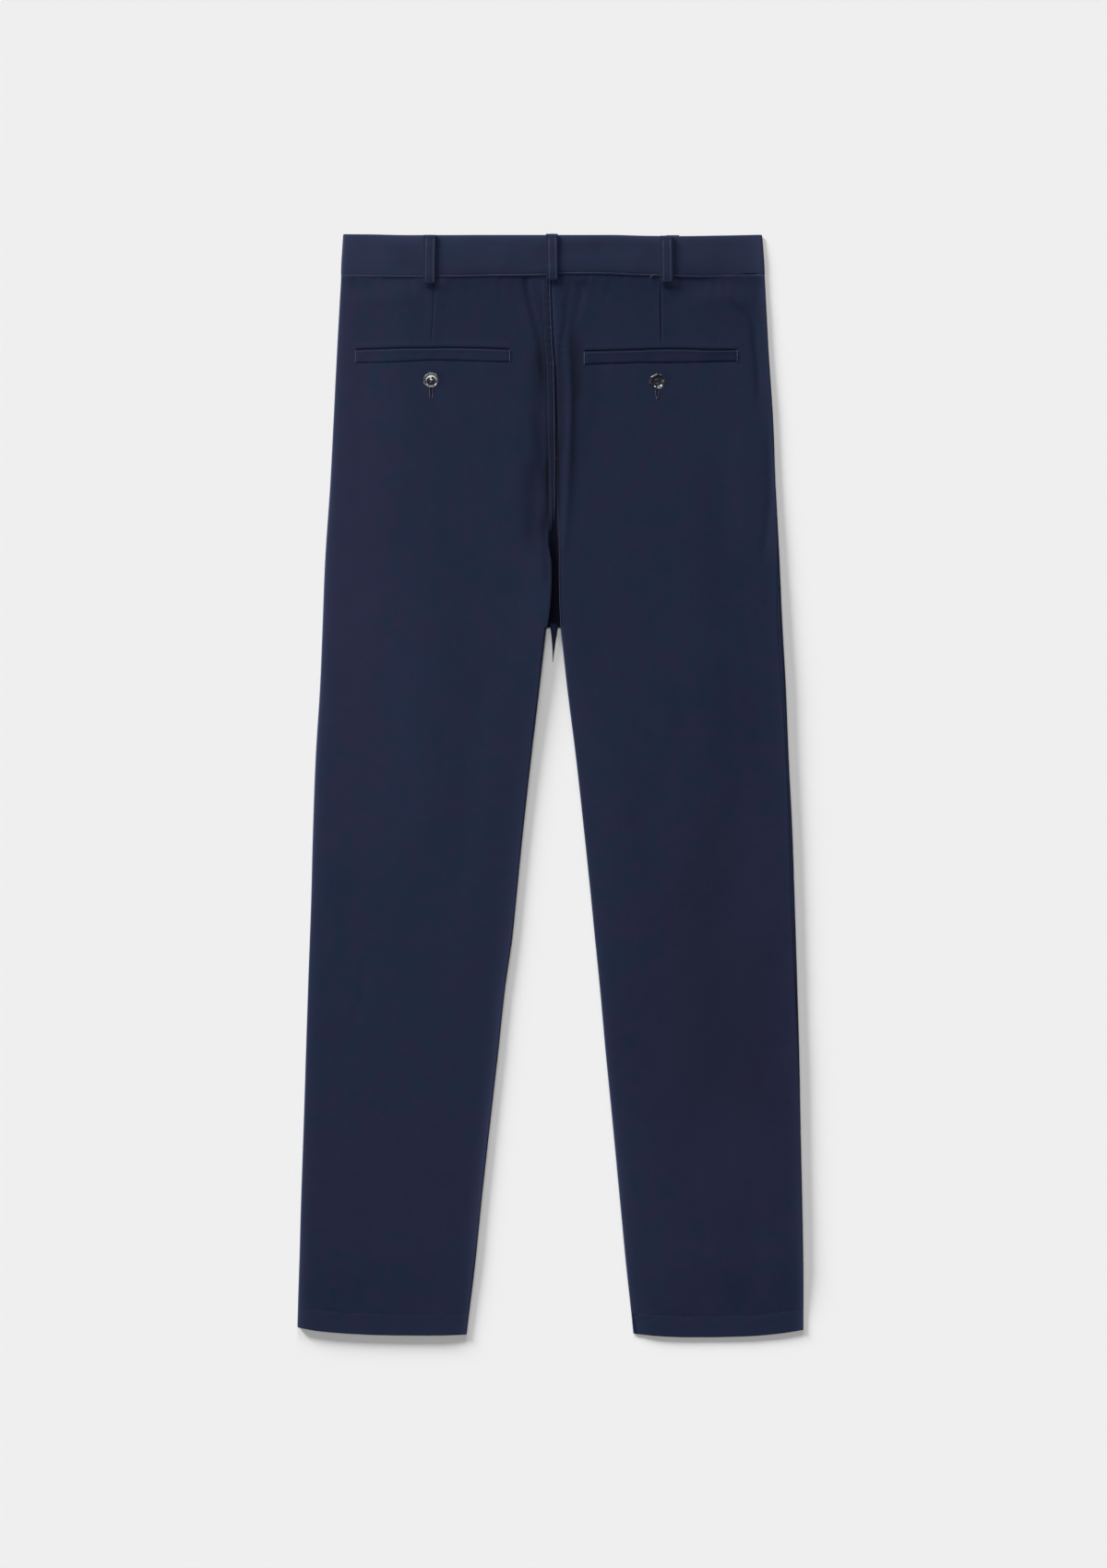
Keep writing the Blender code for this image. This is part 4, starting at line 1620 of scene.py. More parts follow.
    def seam_row(self, leg: Leg) -> Soup:
        """Topstitching just over the seam, on the back and the front.

        Args:
            leg: The half.

        Returns:
            Both rows as one mesh.
        """
        side = leg.side.at(self.row_y) - 2.6
        out = np.linspace(leg.centre_seam(np.array(self.row_y)) + 0.8, side, 140)
        x = leg.sign * out
        y = self.foot.at(x) + 2.2
        slimmed = self.thinning * (BAND_BACK_Z - BAND_FRONT_Z) / 2 / self.droop
        z = BAND_BACK_Z - 0.06 - self.lowered(out) * (1.0 + slimmed)
        up = np.broadcast_to(UP, (len(x), 3))
        back = TOPSTITCH.row(stacked(x, y, z), up, leg.seed)
        out = np.linspace(leg.sign * self.lap + 1.2, side, 60)
        level = BAND_FRONT_Z + 0.2 - self.lowered(out) * (1.0 - slimmed)
        under = stacked(leg.sign * out, np.full(60, self.row_y + 0.1), level)
        front = TOPSTITCH.row(under, -up[:60], leg.seed + 1)
        return joined([back, front])

    def dressed(self, finishes: Finishes) -> dict[str, tuple]:
        """Both halves and their stitching.

        Args:
            finishes: The materials.

        Returns:
            Each node's piece, area, size and stitching.
        """
        made = {}
        for leg in (self.left, self.right):
            node = f"waistband_{leg.half.word}"
            soup, area, size = self.half_band(leg)
            piece = fitted(f"{node}_cloth", soup, finishes.band, Slot.BAND, node, sharp=60.0)
            row = self.seam_row(leg)
            stitches = fitted(f"{node}_stitching", row, finishes.thread, Slot.BAND)
            made[node] = (piece, area, size, stitches)
        return made


@dataclass(frozen=True)
class BeltLoop:
    """A belt loop: a doubled strap, sewn down at both ends with a bow between them."""

    node: str
    x: float
    top: float
    bottom: float
    face: Face
    lean: float = 0.0
    rise: float = 0.3
    width: float = 12.0
    wall: float = 1.25
    # Painted shade along the back straps' left edge.
    edge_tone: float = 0.7
    lean_length: float = 40.0

    def outline(self) -> Array:
        """The strap's section: a rounded rectangle with a shallow trough by each stitch row.

        Returns:
            Points (across, out) of the ring.
        """
        half, thick = self.width / 2, self.wall
        return np.array([
            (-half, thick * 0.5), (-half + 0.12, thick * 0.8), (-half + 0.45, thick),
            (-half + 1.4, thick * 1.04), (-half + 2.9, thick * 0.95), (-half + 4.4, thick * 1.04),
            (0.0, thick * 1.05),
            (half - 3.6, thick * 1.03), (half - 2.3, thick * 0.94), (half - 1.1, thick * 1.02),
            (half - 0.45, thick), (half - 0.12, thick * 0.8), (half, thick * 0.5),
            (half - 0.12, thick * 0.15), (half - 0.5, 0.0), (0.0, 0.0), (-half + 0.5, 0.0),
            (-half + 0.12, thick * 0.15),
        ])

    def line(self) -> tuple[Array, Array]:
        """The strap's inner line as (y, z), over the band's edge and down its outer face.

        Returns:
            Points and unit normals in the plane of y and z.
        """
        share = np.linspace(0.0, 1.0, 64)
        bow = smoothstep(share / 0.26) * smoothstep((1.0 - share) / 0.22)
        y = self.top + (self.bottom - self.top) * share
        if self.face is Face.BACK:
            seat = np.interp(share, (0, 0.06, 0.3, 0.6, 0.88, 1.0), (8.4, 8.45, 8.5, 8.45, 8.4, 8.15))
            z = seat + 0.4 * bow
            turn = np.linspace(0.0, 1.0, 12)[:-1]
            over = self.rise * np.sin(math.pi * (0.10 + 0.55 * turn))
            y = np.concatenate([self.top + over, y])
            z = np.concatenate([4.9 + (z[0] - 4.9) * turn, z])
        else:
            z = BAND_FRONT_Z - 0.15 - (BAND_FRONT_Z - self.wall - 0.15) * bow
        points = stacked(y, z)
        tangent = unit(np.gradient(points, axis=0))
        normal = stacked(tangent[:, 1], -tangent[:, 0])
        return points, normal if self.face is Face.BACK else -normal

    def course(self) -> tuple[Array, Array]:
        """The strap's inner line in space, which leans across the band.

        Returns:
            Points and unit normals, n by 3.
        """
        points, normal = self.line()
        lean = self.lean * (points[:, 0] - (self.top + self.bottom) / 2) / self.lean_length
        return (
            stacked(self.x + lean, points[:, 0], points[:, 1]),
            stacked(np.zeros(len(points)), normal[:, 0], normal[:, 1]),
        )

    def strap(self) -> Soup:
        """The strap: its section carried along its line.

        Returns:
            The strap's mesh.
        """
        path, up = self.course()
        outline = self.outline()
        soup = swept(path, np.broadcast_to(ACROSS, path.shape), up, outline)
        # Painted shade along the strap's left edge.
        left = (outline[:, 0] < -self.width / 2 + 0.5) & (self.face is Face.BACK)
        return soup._replace(shade=np.tile(np.where(left, self.edge_tone, 0.0), len(path)))

    def sewing(self) -> Soup:
        """Two rows along the strap and a bar tack across each end.

        Returns:
            The sewing as one mesh.
        """
        keep = slice(14, 73) if self.face is Face.BACK else slice(3, 61)
        base, up = (part[keep] for part in self.course())
        base = base + up * (self.wall * 0.98)
        parts = [
            TOPSTITCH.row(base + across * ACROSS, up, int(abs(self.x)) + 3)
            for across in (-self.width / 2 + 2.9, self.width / 2 - 2.3)
        ]
        span = np.linspace(-0.5, 0.5, 9)[:, None] * (self.width - 3.0) * ACROSS
        for at in range(2, 12, 2) if self.face is Face.BACK else (2, len(base) - 4):
            parts.append(FINE_STITCH.row(base[at] + span, np.broadcast_to(up[at], span.shape), at))
        return joined(parts)

    def dressed(self, finishes: Finishes) -> list[bpy.types.Object]:
        """The strap and its sewing.

        Args:
            finishes: The materials.

        Returns:
            The two pieces.
        """
        name, band = self.node, Slot.BAND
        return [
            fitted(f"{name}_strap", self.strap(), finishes.band, band, name, sharp=60.0),
            fitted(f"{name}_stitching", self.sewing(), finishes.thread, band),
        ]


# ---------------------------------------------------------------- welts and buttons


@dataclass(frozen=True)
class Welt:
    """A back pocket's welt: a folded strip that fills the opening, tacked at its ends."""

    pocket: Pocket

    @property
    def node(self) -> str:
        """The CAD node that it stands for."""
        return f"pocket_welt_{self.pocket.leg.half.word}"

    def strip(self) -> Soup:
        """The strip: its section, low at the seam and rolled at the lip, carried along the slit.

        Returns:
            The strip's mesh.
        """
        pocket = self.pocket
        x = np.linspace(pocket.inner, pocket.outer, 120)
        section = np.array([
            (0.0, -0.30), (0.0, 0.10), (0.035, 0.30), (0.09, 0.42), (0.18, 0.48), (0.30, 0.50),
            (0.42, 0.52), (0.54, 0.55), (0.64, 0.59), (0.74, 0.65), (0.82, 0.72), (0.89, 0.74),
            (0.95, 0.66), (0.985, 0.46), (1.0, 0.22), (0.995, -0.10), (0.98, -0.30), (0.5, -0.30),
        ])
        low, high = pocket.lower.at(x)[:, None], pocket.upper.at(x)[:, None]
        y = low + (high - low) * section[None, :, 0]
        grid_x = np.broadcast_to(x[:, None], y.shape)
        ends = window(x, x.min(), x.max(), 1.6)
        wave = 0.05 * ripples(grid_x, y, 18.0, pocket.leg.seed + 11)
        lift = section[None, :, 1] * (0.35 + 0.65 * ends[:, None]) + wave * (section[None, :, 1] > 0)
        z = pocket.leg.top(grid_x, y) + lift
        points = stacked(grid_x, y, z).reshape(-1, 3)
        # The whole welt gets an even painted shade.
        shade = np.full(len(points), pocket.welt_tone)
        return Soup.of(points, ring_faces(*z.shape), stacked(y, grid_x).reshape(-1, 2), shade)

    def tacks(self) -> Soup:
        """Bar tacks across the welt's ends.

        Returns:
            The tacks as one mesh.
        """
        pocket, parts = self.pocket, []
        for at in pocket.tacks:
            low, high = float(pocket.lower.at(at)), float(pocket.upper.at(at))
            middle = (low + high) / 2
            z = float(pocket.leg.top(np.array([at]), np.array([middle]))[0]) + 0.62
            parts.append(bar_tack(np.array([at, middle, z]), ALONG, UP, high - low + 0.4, 0.7))
        return joined(parts)

    def buttonhole(self) -> tuple[Soup, Soup]:
        """The buttonhole that runs down from under the button: purled lips, and the slit between.

        Returns:
            The lips, and the slit.
        """
        pocket = self.pocket
        x0, y0 = pocket.button
        near, far = pocket.hole
        y = np.arange(y0 - 16.5, y0 - 4.0, 0.42)
        apart = np.interp(y, (y0 - 16.5, y0 - 14.5, y0 - 8.0), (far, (near + far) / 2, near))
        kind = Stitching(long=0.85, pitch=0.42, wide=0.34, high=0.40)
        parts = []
        for side in (-1.0, 1.0):
            x = x0 + side * apart
            centre = stacked(x, y, pocket.leg.top(x, y) + 0.16)
            across = np.broadcast_to(unit(np.array([1.0, 0.2 * side, 0.0])), centre.shape)
            parts.append(kind.set_at(centre, across, np.broadcast_to(UP, centre.shape)))
        # The slit is a thin spindle of cloth painted near black: painted shade in the buttonhole's
        # opening.
        line = np.linspace(y0 - 16.0, y0 - 2.0, 24)
        middle = np.full(24, x0)
        path = stacked(middle, line, pocket.leg.top(middle, line) + 0.02)
        swell = near * np.sin(np.linspace(0.12, math.pi * 0.75, 24))[:, None, None]
        ring = np.array([(-0.75, 0.0), (0.0, 0.06), (0.75, 0.0), (0.0, -0.12)])[None] * swell
        side, up = (np.broadcast_to(way, path.shape) for way in (ACROSS, UP))
        slit = swept(path, side, up, ring)
        return joined(parts), slit._replace(shade=np.full(len(slit.points), 0.7))

    def dressed(self, finishes: Finishes) -> list[bpy.types.Object]:
        """The welt, its tacks and the buttonhole.

        Args:
            finishes: The materials.

        Returns:
            The welt, the tacks with the lips, and the slit.
        """
        lips, slit = self.buttonhole()
        name, twill = self.node, Slot.TWILL
        hole = f"buttonhole_{self.pocket.leg.half.word}"
        return [
            fitted(f"{name}_cloth", self.strip(), finishes.twill, twill, name, sharp=60.0),
            fitted(f"{name}_tacks", joined([self.tacks(), lips]), finishes.thread, twill),
            fitted(hole, slit, finishes.twill, twill),
        ]


@dataclass(frozen=True)
class Button:
    """A turned four-hole button: a raised rim, a groove, a dished wall and a low dome inside."""

    node: str
    centre: tuple[float, float, float]
    diameter: float
    thickness: float
    tilt: tuple[float, float, float]
    hole_pitch: float = 3.5
    hole_width: float = 1.95
    sides: int = 72
    hole_sides: int = 16
    sharp: float = 38.0
    dome: float = 0.5
    wall_foot: float = 0.58

    def profile(self) -> Array:
        """Half of the button's section, (share of the radius, share of the thickness).

        Returns:
            Points from the middle of the top to the middle of the underside.
        """
        return np.array([
            (0.03, 0.50 + 0.10 * self.dome), (0.16, 0.50 + 0.09 * self.dome),
            (0.30, 0.50 + 0.067 * self.dome), (0.42, 0.50 + 0.035 * self.dome), (0.52, 0.50),
            (self.wall_foot, 0.50), (0.4 * self.wall_foot + 0.4, 0.56),
            (0.2 * self.wall_foot + 0.555, 0.68), (0.71, 0.82), (0.755, 0.925), (0.80, 0.965),
            (0.835, 0.955), (0.86, 0.925), (0.885, 0.955), (0.92, 0.97), (0.955, 0.92),
            (0.98, 0.83), (0.996, 0.70), (1.0, 0.58), (0.985, 0.42), (0.93, 0.24), (0.82, 0.10),
            (0.66, 0.02), (0.40, 0.0), (0.03, 0.0),
        ])

    def turned(self) -> Soup:
        """The profile turned round the axis, closed by a small disc at each pole.

        Returns:
            The button's mesh, before its holes.
        """
        profile = self.profile() * np.array([self.diameter / 2, self.thickness])
        shape = (len(profile), self.sides)
        angle = np.arange(self.sides) * TAU / self.sides
        radius, level = profile[:, None, 0], np.broadcast_to(profile[:, None, 1], shape)
        points = stacked(radius * np.cos(angle), radius * np.sin(angle), level)
        return Soup.of(points.reshape(-1, 3), ring_faces(*shape))

    def hole_places(self) -> Array:
        """Centres of the four holes."""
        angle = np.radians(45.0 + 90.0 * np.arange(4))
        return self.hole_pitch / math.sqrt(2) * stacked(np.cos(angle), np.sin(angle))

    def cutter(self) -> Soup:
        """Four waisted rods that cut the holes with eased mouths.

        Returns:
            The rods as one mesh.
        """
        level = np.array([-1.0, 0.10, 0.40, 0.50, 0.60, 2.0]) * self.thickness
        width = np.array([1.0, 1.0, 1.0, 1.06, 1.35, 1.6]) * self.hole_width / 2
        shape = (len(level), self.hole_sides)
        angle = np.arange(self.hole_sides) * TAU / self.hole_sides
        across, along = width[:, None] * np.cos(angle), width[:, None] * np.sin(angle)
        level = np.broadcast_to(level[:, None], shape)
        return joined([
            Soup.of(stacked(x + across, y + along, level).reshape(-1, 3), ring_faces(*shape))
            for x, y in self.hole_places()
        ])

    def threads(self) -> Soup:
        """Two bars of thread between the holes, each of three strands in a low arch.

        Returns:
            The strands as one mesh.
        """
        places = self.hole_places()
        parts = []
        for first, second in ((places[1], places[0]), (places[2], places[3])):
            for strand in (-0.32, 0.0, 0.32):
                share = np.linspace(0.0, 1.0, 14)[:, None]
                flat = first + (second - first) * share + np.array([0.0, strand])
                arch = np.sin(math.pi * share[:, 0]) ** 0.45
                z = self.thickness * 0.16 + (self.thickness * 0.40 + 0.12 * (strand == 0)) * arch
                parts.append(tube(np.column_stack([flat, z]), 0.24, ALONG))
        return joined(parts)

    def placed(self) -> Matrix:
        """The button's turn and place, in millimetres."""
        turn = Euler([math.radians(angle) for angle in self.tilt]).to_matrix().to_4x4()
        return Matrix.Translation(Vector(self.centre)) @ turn

    def moved(self, soup: Soup) -> Soup:
        """A mesh turned and moved to the button's place."""
        matrix = np.array(self.placed())
        return soup._replace(points=soup.points @ matrix[:3, :3].T + matrix[:3, 3])

    def dressed(self, finishes: Finishes) -> list[bpy.types.Object]:
        """The button with its holes cut, and its threads.

        Args:
            finishes: The materials.

        Returns:
            The two pieces.
        """
        turned = self.moved(self.turned())
        button = make_piece(f"{self.node}_resin", turned, finishes.resin, self.sharp)
        rods = make_piece(f"{self.node}_rods", self.moved(self.cutter()), finishes.resin)
        cut = button.modifiers.new("holes", "BOOLEAN")
        cut.operation, cut.solver, cut.object = "DIFFERENCE", "EXACT", rods
        ready = button.evaluated_get(bpy.context.evaluated_depsgraph_get())
        mesh = bpy.data.meshes.new_from_object(ready)
        button.modifiers.clear()
        button.data = mesh
        bpy.data.objects.remove(rods, do_unlink=True)
        mesh.shade_smooth()
        mesh.set_sharp_from_angle(angle=math.radians(self.sharp))
        worn(button, Slot.BUTTON, self.node)
        sewn = self.moved(self.threads())
        return [button, fitted(f"{self.node}_thread", sewn, finishes.dark_thread, Slot.BUTTON)]


# ---------------------------------------------------------------- seams that are sewn through


@dataclass(frozen=True)
class SeamSewing:
    """Sewing on the panels: the centre back, the hems, the fly and the side pockets' mouths."""

    left: Leg
    right: Leg

    def centre_back(self, away: Curve, low: float) -> Soup:
        """One of the twin rows down the lapped side of the centre back seam.

        Args:
            away: How far from the seam the row runs.
            low: Where the row ends.

        Returns:
            The row as one mesh.
        """
        y = np.linspace(477.0, low, 120)
        end = self.left.sections(y).end[:, 0]
        path, up = self.left.on_panel(Face.BACK, y, end - away.at(y), 0.04)
        return TOPSTITCH.row(path, up, int(low))

    def hem(self, leg: Leg) -> Soup:
        """A fine row round the leg, 19 mm over its edge.

        Args:
            leg: The half.

        Returns:
            The row as one mesh.
        """
        parts = []
        for face in Face:
            y = np.full(150, HEM_Y + HEM_DEPTH)
            at = leg.sections(y)
            low, high = (at.edge, at.end) if face is Face.BACK else (0.0 * at.end, at.edge)
            length = (low + (high - low) * np.linspace(0.01, 0.99, 150)[:, None])[:, 0]
            path, up = leg.on_panel(face, y, length, 0.03)
            parts.append(FINE_STITCH.row(path, up, leg.seed + 20))
        return joined(parts)

    def mouth(self, leg: Leg) -> Soup:
        """A row along the front edge of the side pocket's mouth.

        Args:
            leg: The half.

        Returns:
            The row as one mesh.
        """
        y = np.linspace(462.0, 282.0, 80)
        at = leg.sections(y)
        length = at.edge[:, 0] + leg.wrap.at(y) - 8.0
        path, up = leg.on_panel(Face.FRONT, y, length, 0.05)
        return TOPSTITCH.row(path, up, leg.seed + 30)

    def fly(self) -> Soup:
        """The fly's row: down beside its edge, then round to the centre front seam.

        Returns:
            The row as one mesh.
        """
        track = Curve(((0, 34), (0.55, 34), (0.78, 27), (0.92, 14), (1, 1.5)))
        drop = Curve(((0, 474), (0.55, 352), (0.78, 312), (0.92, 292), (1, 284)))
        share = np.linspace(0.0, 1.0, 120)
        path, up = self.left.on_panel(Face.FRONT, drop.at(share), track.at(share), 0.05)
        return TOPSTITCH.row(path, up, 41)

    def tail(self) -> Soup:
        """A loose end of thread at the waist seam, beside the right loop.

        Returns:
            The thread's mesh.
        """
        share = np.linspace(0.0, 1.0, 12)
        x = 98.6 - 4.4 * share
        y = 481.6 - 2.4 * share + 0.6 * np.sin(share * 4.0)
        return tube(stacked(x, y, 8.45 - 0.35 * share), 0.22, UP)

    def crotch_tip(self) -> Soup:
        """A tapered tip of dark cloth between the legs under the crotch, which stands in for the
        wedge of shade there.

        Returns:
            The tip's mesh.
        """
        share = np.linspace(0.0, 1.0, 16)
        path = stacked(3.9 - 1.1 * share**2, 153.0 - 36.0 * share, 3.2 - 2.4 * share)
        half = (0.25 + 3.7 * (1.0 - share) ** 1.45)[:, None]
        angle = (np.arange(12) * TAU / 12)[None]
        deep = (0.35 + 1.1 * (1.0 - share))[:, None]
        ring = stacked(half * np.cos(angle), deep * np.sin(angle))
        side = np.tile(ACROSS, (16, 1))
        up = np.tile(unit(np.array([0.0, -0.07, 1.0])), (16, 1))
        return swept(path, side, up, ring)

    def loop_catch(self) -> Soup:
        """Two long stitches that catch the middle belt loop's foot.

        Returns:
            Both stitches as one mesh.
        """
        centre = np.array([(-1.6, 487.6, 9.75), (0.1, 488.6, 9.85)])
        along = np.tile(unit(np.array([0.02, 1.0, 0.08])), (2, 1))
        up = np.tile(unit(np.array([0.0, -0.08, 1.0])), (2, 1))
        return Stitching(long=5.6, wide=0.5, high=0.4).set_at(centre, along, up)

    def dressed(self, finishes: Finishes) -> dict[str, bpy.types.Object]:
        """Every row as a piece of its own.

        Args:
            finishes: The materials.

        Returns:
            The pieces by name.
        """
        made = {}
        for name, soup, material in (
            ("centre_back_stitching", self.centre_back(Curve(((480.2, 1.8), (150, 1.8))), 250.0),
             finishes.thread),
            ("centre_back_outer_stitching", self.centre_back(self.left.outer_row, 229.0),
             finishes.dark_thread),
            ("loop_catch_stitching", self.loop_catch(), finishes.pale_thread),
            ("crotch_seam_tip", self.crotch_tip(), finishes.twill),
            ("fly_stitching", self.fly(), finishes.thread),
            ("thread_tail", self.tail(), finishes.thread),
            ("hem_stitching_left", self.hem(self.left), finishes.dark_thread),
            ("hem_stitching_right", self.hem(self.right), finishes.dark_thread),
            ("pocket_mouth_stitching_left", self.mouth(self.left), finishes.thread),
            ("pocket_mouth_stitching_right", self.mouth(self.right), finishes.thread),
        ):
            made[name] = fitted(name, soup, material, Slot.TWILL)
        return made


# ---------------------------------------------------------------- floor, light and camera


@dataclass(frozen=True)
class Sun:
    """A broad far light: its share of the floor's light, and where and how wide it is."""

    name: str
    share: float
    azimuth: float
    elevation: float
    spread: float

    def towards(self) -> Vector:
        """Unit vector from the floor to the light's middle.

        Returns:
            The vector.
        """
        azimuth, elevation = math.radians(self.azimuth), math.radians(self.elevation)
        flat = math.cos(elevation)
        return Vector((math.cos(azimuth) * flat, math.sin(azimuth) * flat, math.sin(elevation)))


@dataclass(frozen=True)
class Studio:
    """A plain pale floor, soft light from the upper left, and a camera straight above."""

    floor_albedo: float = 0.80
    floor_light: float = 1.079
    sky: float = 0.05
    suns: tuple[Sun, ...] = (
        Sun("low_window", 0.435, 132.0, 13.6, 16.0),
        Sun("top_window", 0.185, 92.0, 18.0, 22.0),
        Sun("overhead", 0.33, 124.0, 79.0, 20.0),
    )
    gloss: tuple[Sun, ...] = (
        Sun("button_softbox", 0.58, 100.0, 66.0, 27.0),
        Sun("button_window", 0.20, 57.0, 14.0, 14.0),
    )
    glossy_below: float = 70.0
    side_power: float = 4.1
    side_size: float = 0.5
    side_place: tuple[float, float, float] = (-0.86, 0.22, 0.42)
    frame_height: float = 1.4804
    centre: tuple[float, float] = (0.00347, 0.0018)
    distance: float = 4.0

    def floor(self) -> None:
        """A square of floor just under the cloth."""
        half, level = 4.0, -0.0004
        mesh = bpy.data.meshes.new("floor")
        signs = ((-1, -1), (1, -1), (1, 1), (-1, 1))
        mesh.from_pydata([(x * half, y * half, level) for x, y in signs], [], [(0, 1, 2, 3)])
        g = Graph("pale_floor")
        albedo = self.floor_albedo
        g.shaded(
            Base_Color=(albedo, albedo, albedo, 1.0), Roughness=1.0, Specular_IOR_Level=0.0
        )
        mesh.materials.append(g.material)
        floor = bpy.data.objects.new("floor", mesh)
        bpy.context.scene.collection.objects.link(floor)

    def lamp(self, name: str, kind: str, energy: float, towards: Vector) -> bpy.types.Object:
        """A lamp that shines from a direction.

        Args:
            name: Its name.
            kind: Its type.
            energy: Its strength.
            towards: From the floor to the lamp.

        Returns:
            The lamp.
        """
        data = bpy.data.lights.new(name, kind)
        data.energy = energy
        lamp = bpy.data.objects.new(name, data)
        lamp.rotation_euler = towards.to_track_quat("Z", "Y").to_euler()
        bpy.context.scene.collection.objects.link(lamp)
        return lamp

    def light(self) -> None:
        """A faint even sky and the broad suns, which together light the floor evenly."""
        world = bpy.data.worlds.new("studio")
        world.use_nodes = True
        background = world.node_tree.nodes["Background"]
        background.inputs["Color"].default_value = (1.0, 1.0, 1.0, 1.0)
        background.inputs["Strength"].default_value = self.floor_light * self.sky
        bpy.context.scene.world = world
        for sun in self.suns:
            self.sun(sun).visible_glossy = sun.elevation < self.glossy_below

    def sun(self, sun: Sun) -> bpy.types.Object:
        """A sun lamp that gives the level floor its share of light.

        Args:
            sun: What it gives and where it is.

        Returns:
            The lamp.
        """
        towards = sun.towards()
        energy = self.floor_light * sun.share * math.pi / towards.z
        lamp = self.lamp(sun.name, "SUN", energy, towards)
        lamp.data.angle = math.radians(sun.spread)
        return lamp

    def link(self, lamp: bpy.types.Object, role: str, pieces: list[bpy.types.Object]) -> None:
        """Makes pieces the only receivers of a lamp's light, or its only blockers.

        Args:
            lamp: The lamp.
            role: Either "receiver" or "blocker".
            pieces: The pieces.
        """
        group = bpy.data.collections.new(f"{lamp.name}_{role}s")
        for piece in pieces:
            group.objects.link(piece)
        setattr(lamp.light_linking, f"{role}_collection", group)

    def linked_lights(self, garment: list[bpy.types.Object]) -> None:
        """A near softbox for the garment alone, which fades across it, and lamps for its buttons.

        The two windows shine past the buttons and the crotch's shade tip, which cast no long shadow.

        Args:
            garment: Every piece of the garment.
        """
        towards = Vector(self.side_place) - Vector((0.0, 0.1, 0.0))
        side = self.lamp("side_softbox", "AREA", self.side_power, towards)
        side.location = self.side_place
        side.data.size = self.side_size
        self.link(side, "receiver", garment)
        resin = [piece for piece in garment if piece.name.endswith("_resin")]
        for sun in self.gloss:
            self.link(self.sun(sun), "receiver", resin)
        small = ("button_", "crotch_seam_tip")
        cloth = [piece for piece in garment if not any(word in piece.name for word in small)]
        for sun in self.suns[:2]:
            self.link(bpy.data.objects[sun.name], "blocker", cloth)

    def camera(self) -> None:
        """A camera whose long side takes in frame_height at the floor."""
        data = bpy.data.cameras.new("camera")
        data.sensor_width = 36.0
        data.lens = 36.0 * self.distance / self.frame_height
        camera = bpy.data.objects.new("camera", data)
        camera.location = (*self.centre, self.distance)
        bpy.context.scene.collection.objects.link(camera)
        bpy.context.scene.camera = camera
        bpy.context.scene.view_settings.view_transform = "Standard"


# ---------------------------------------------------------------- this pair of trousers

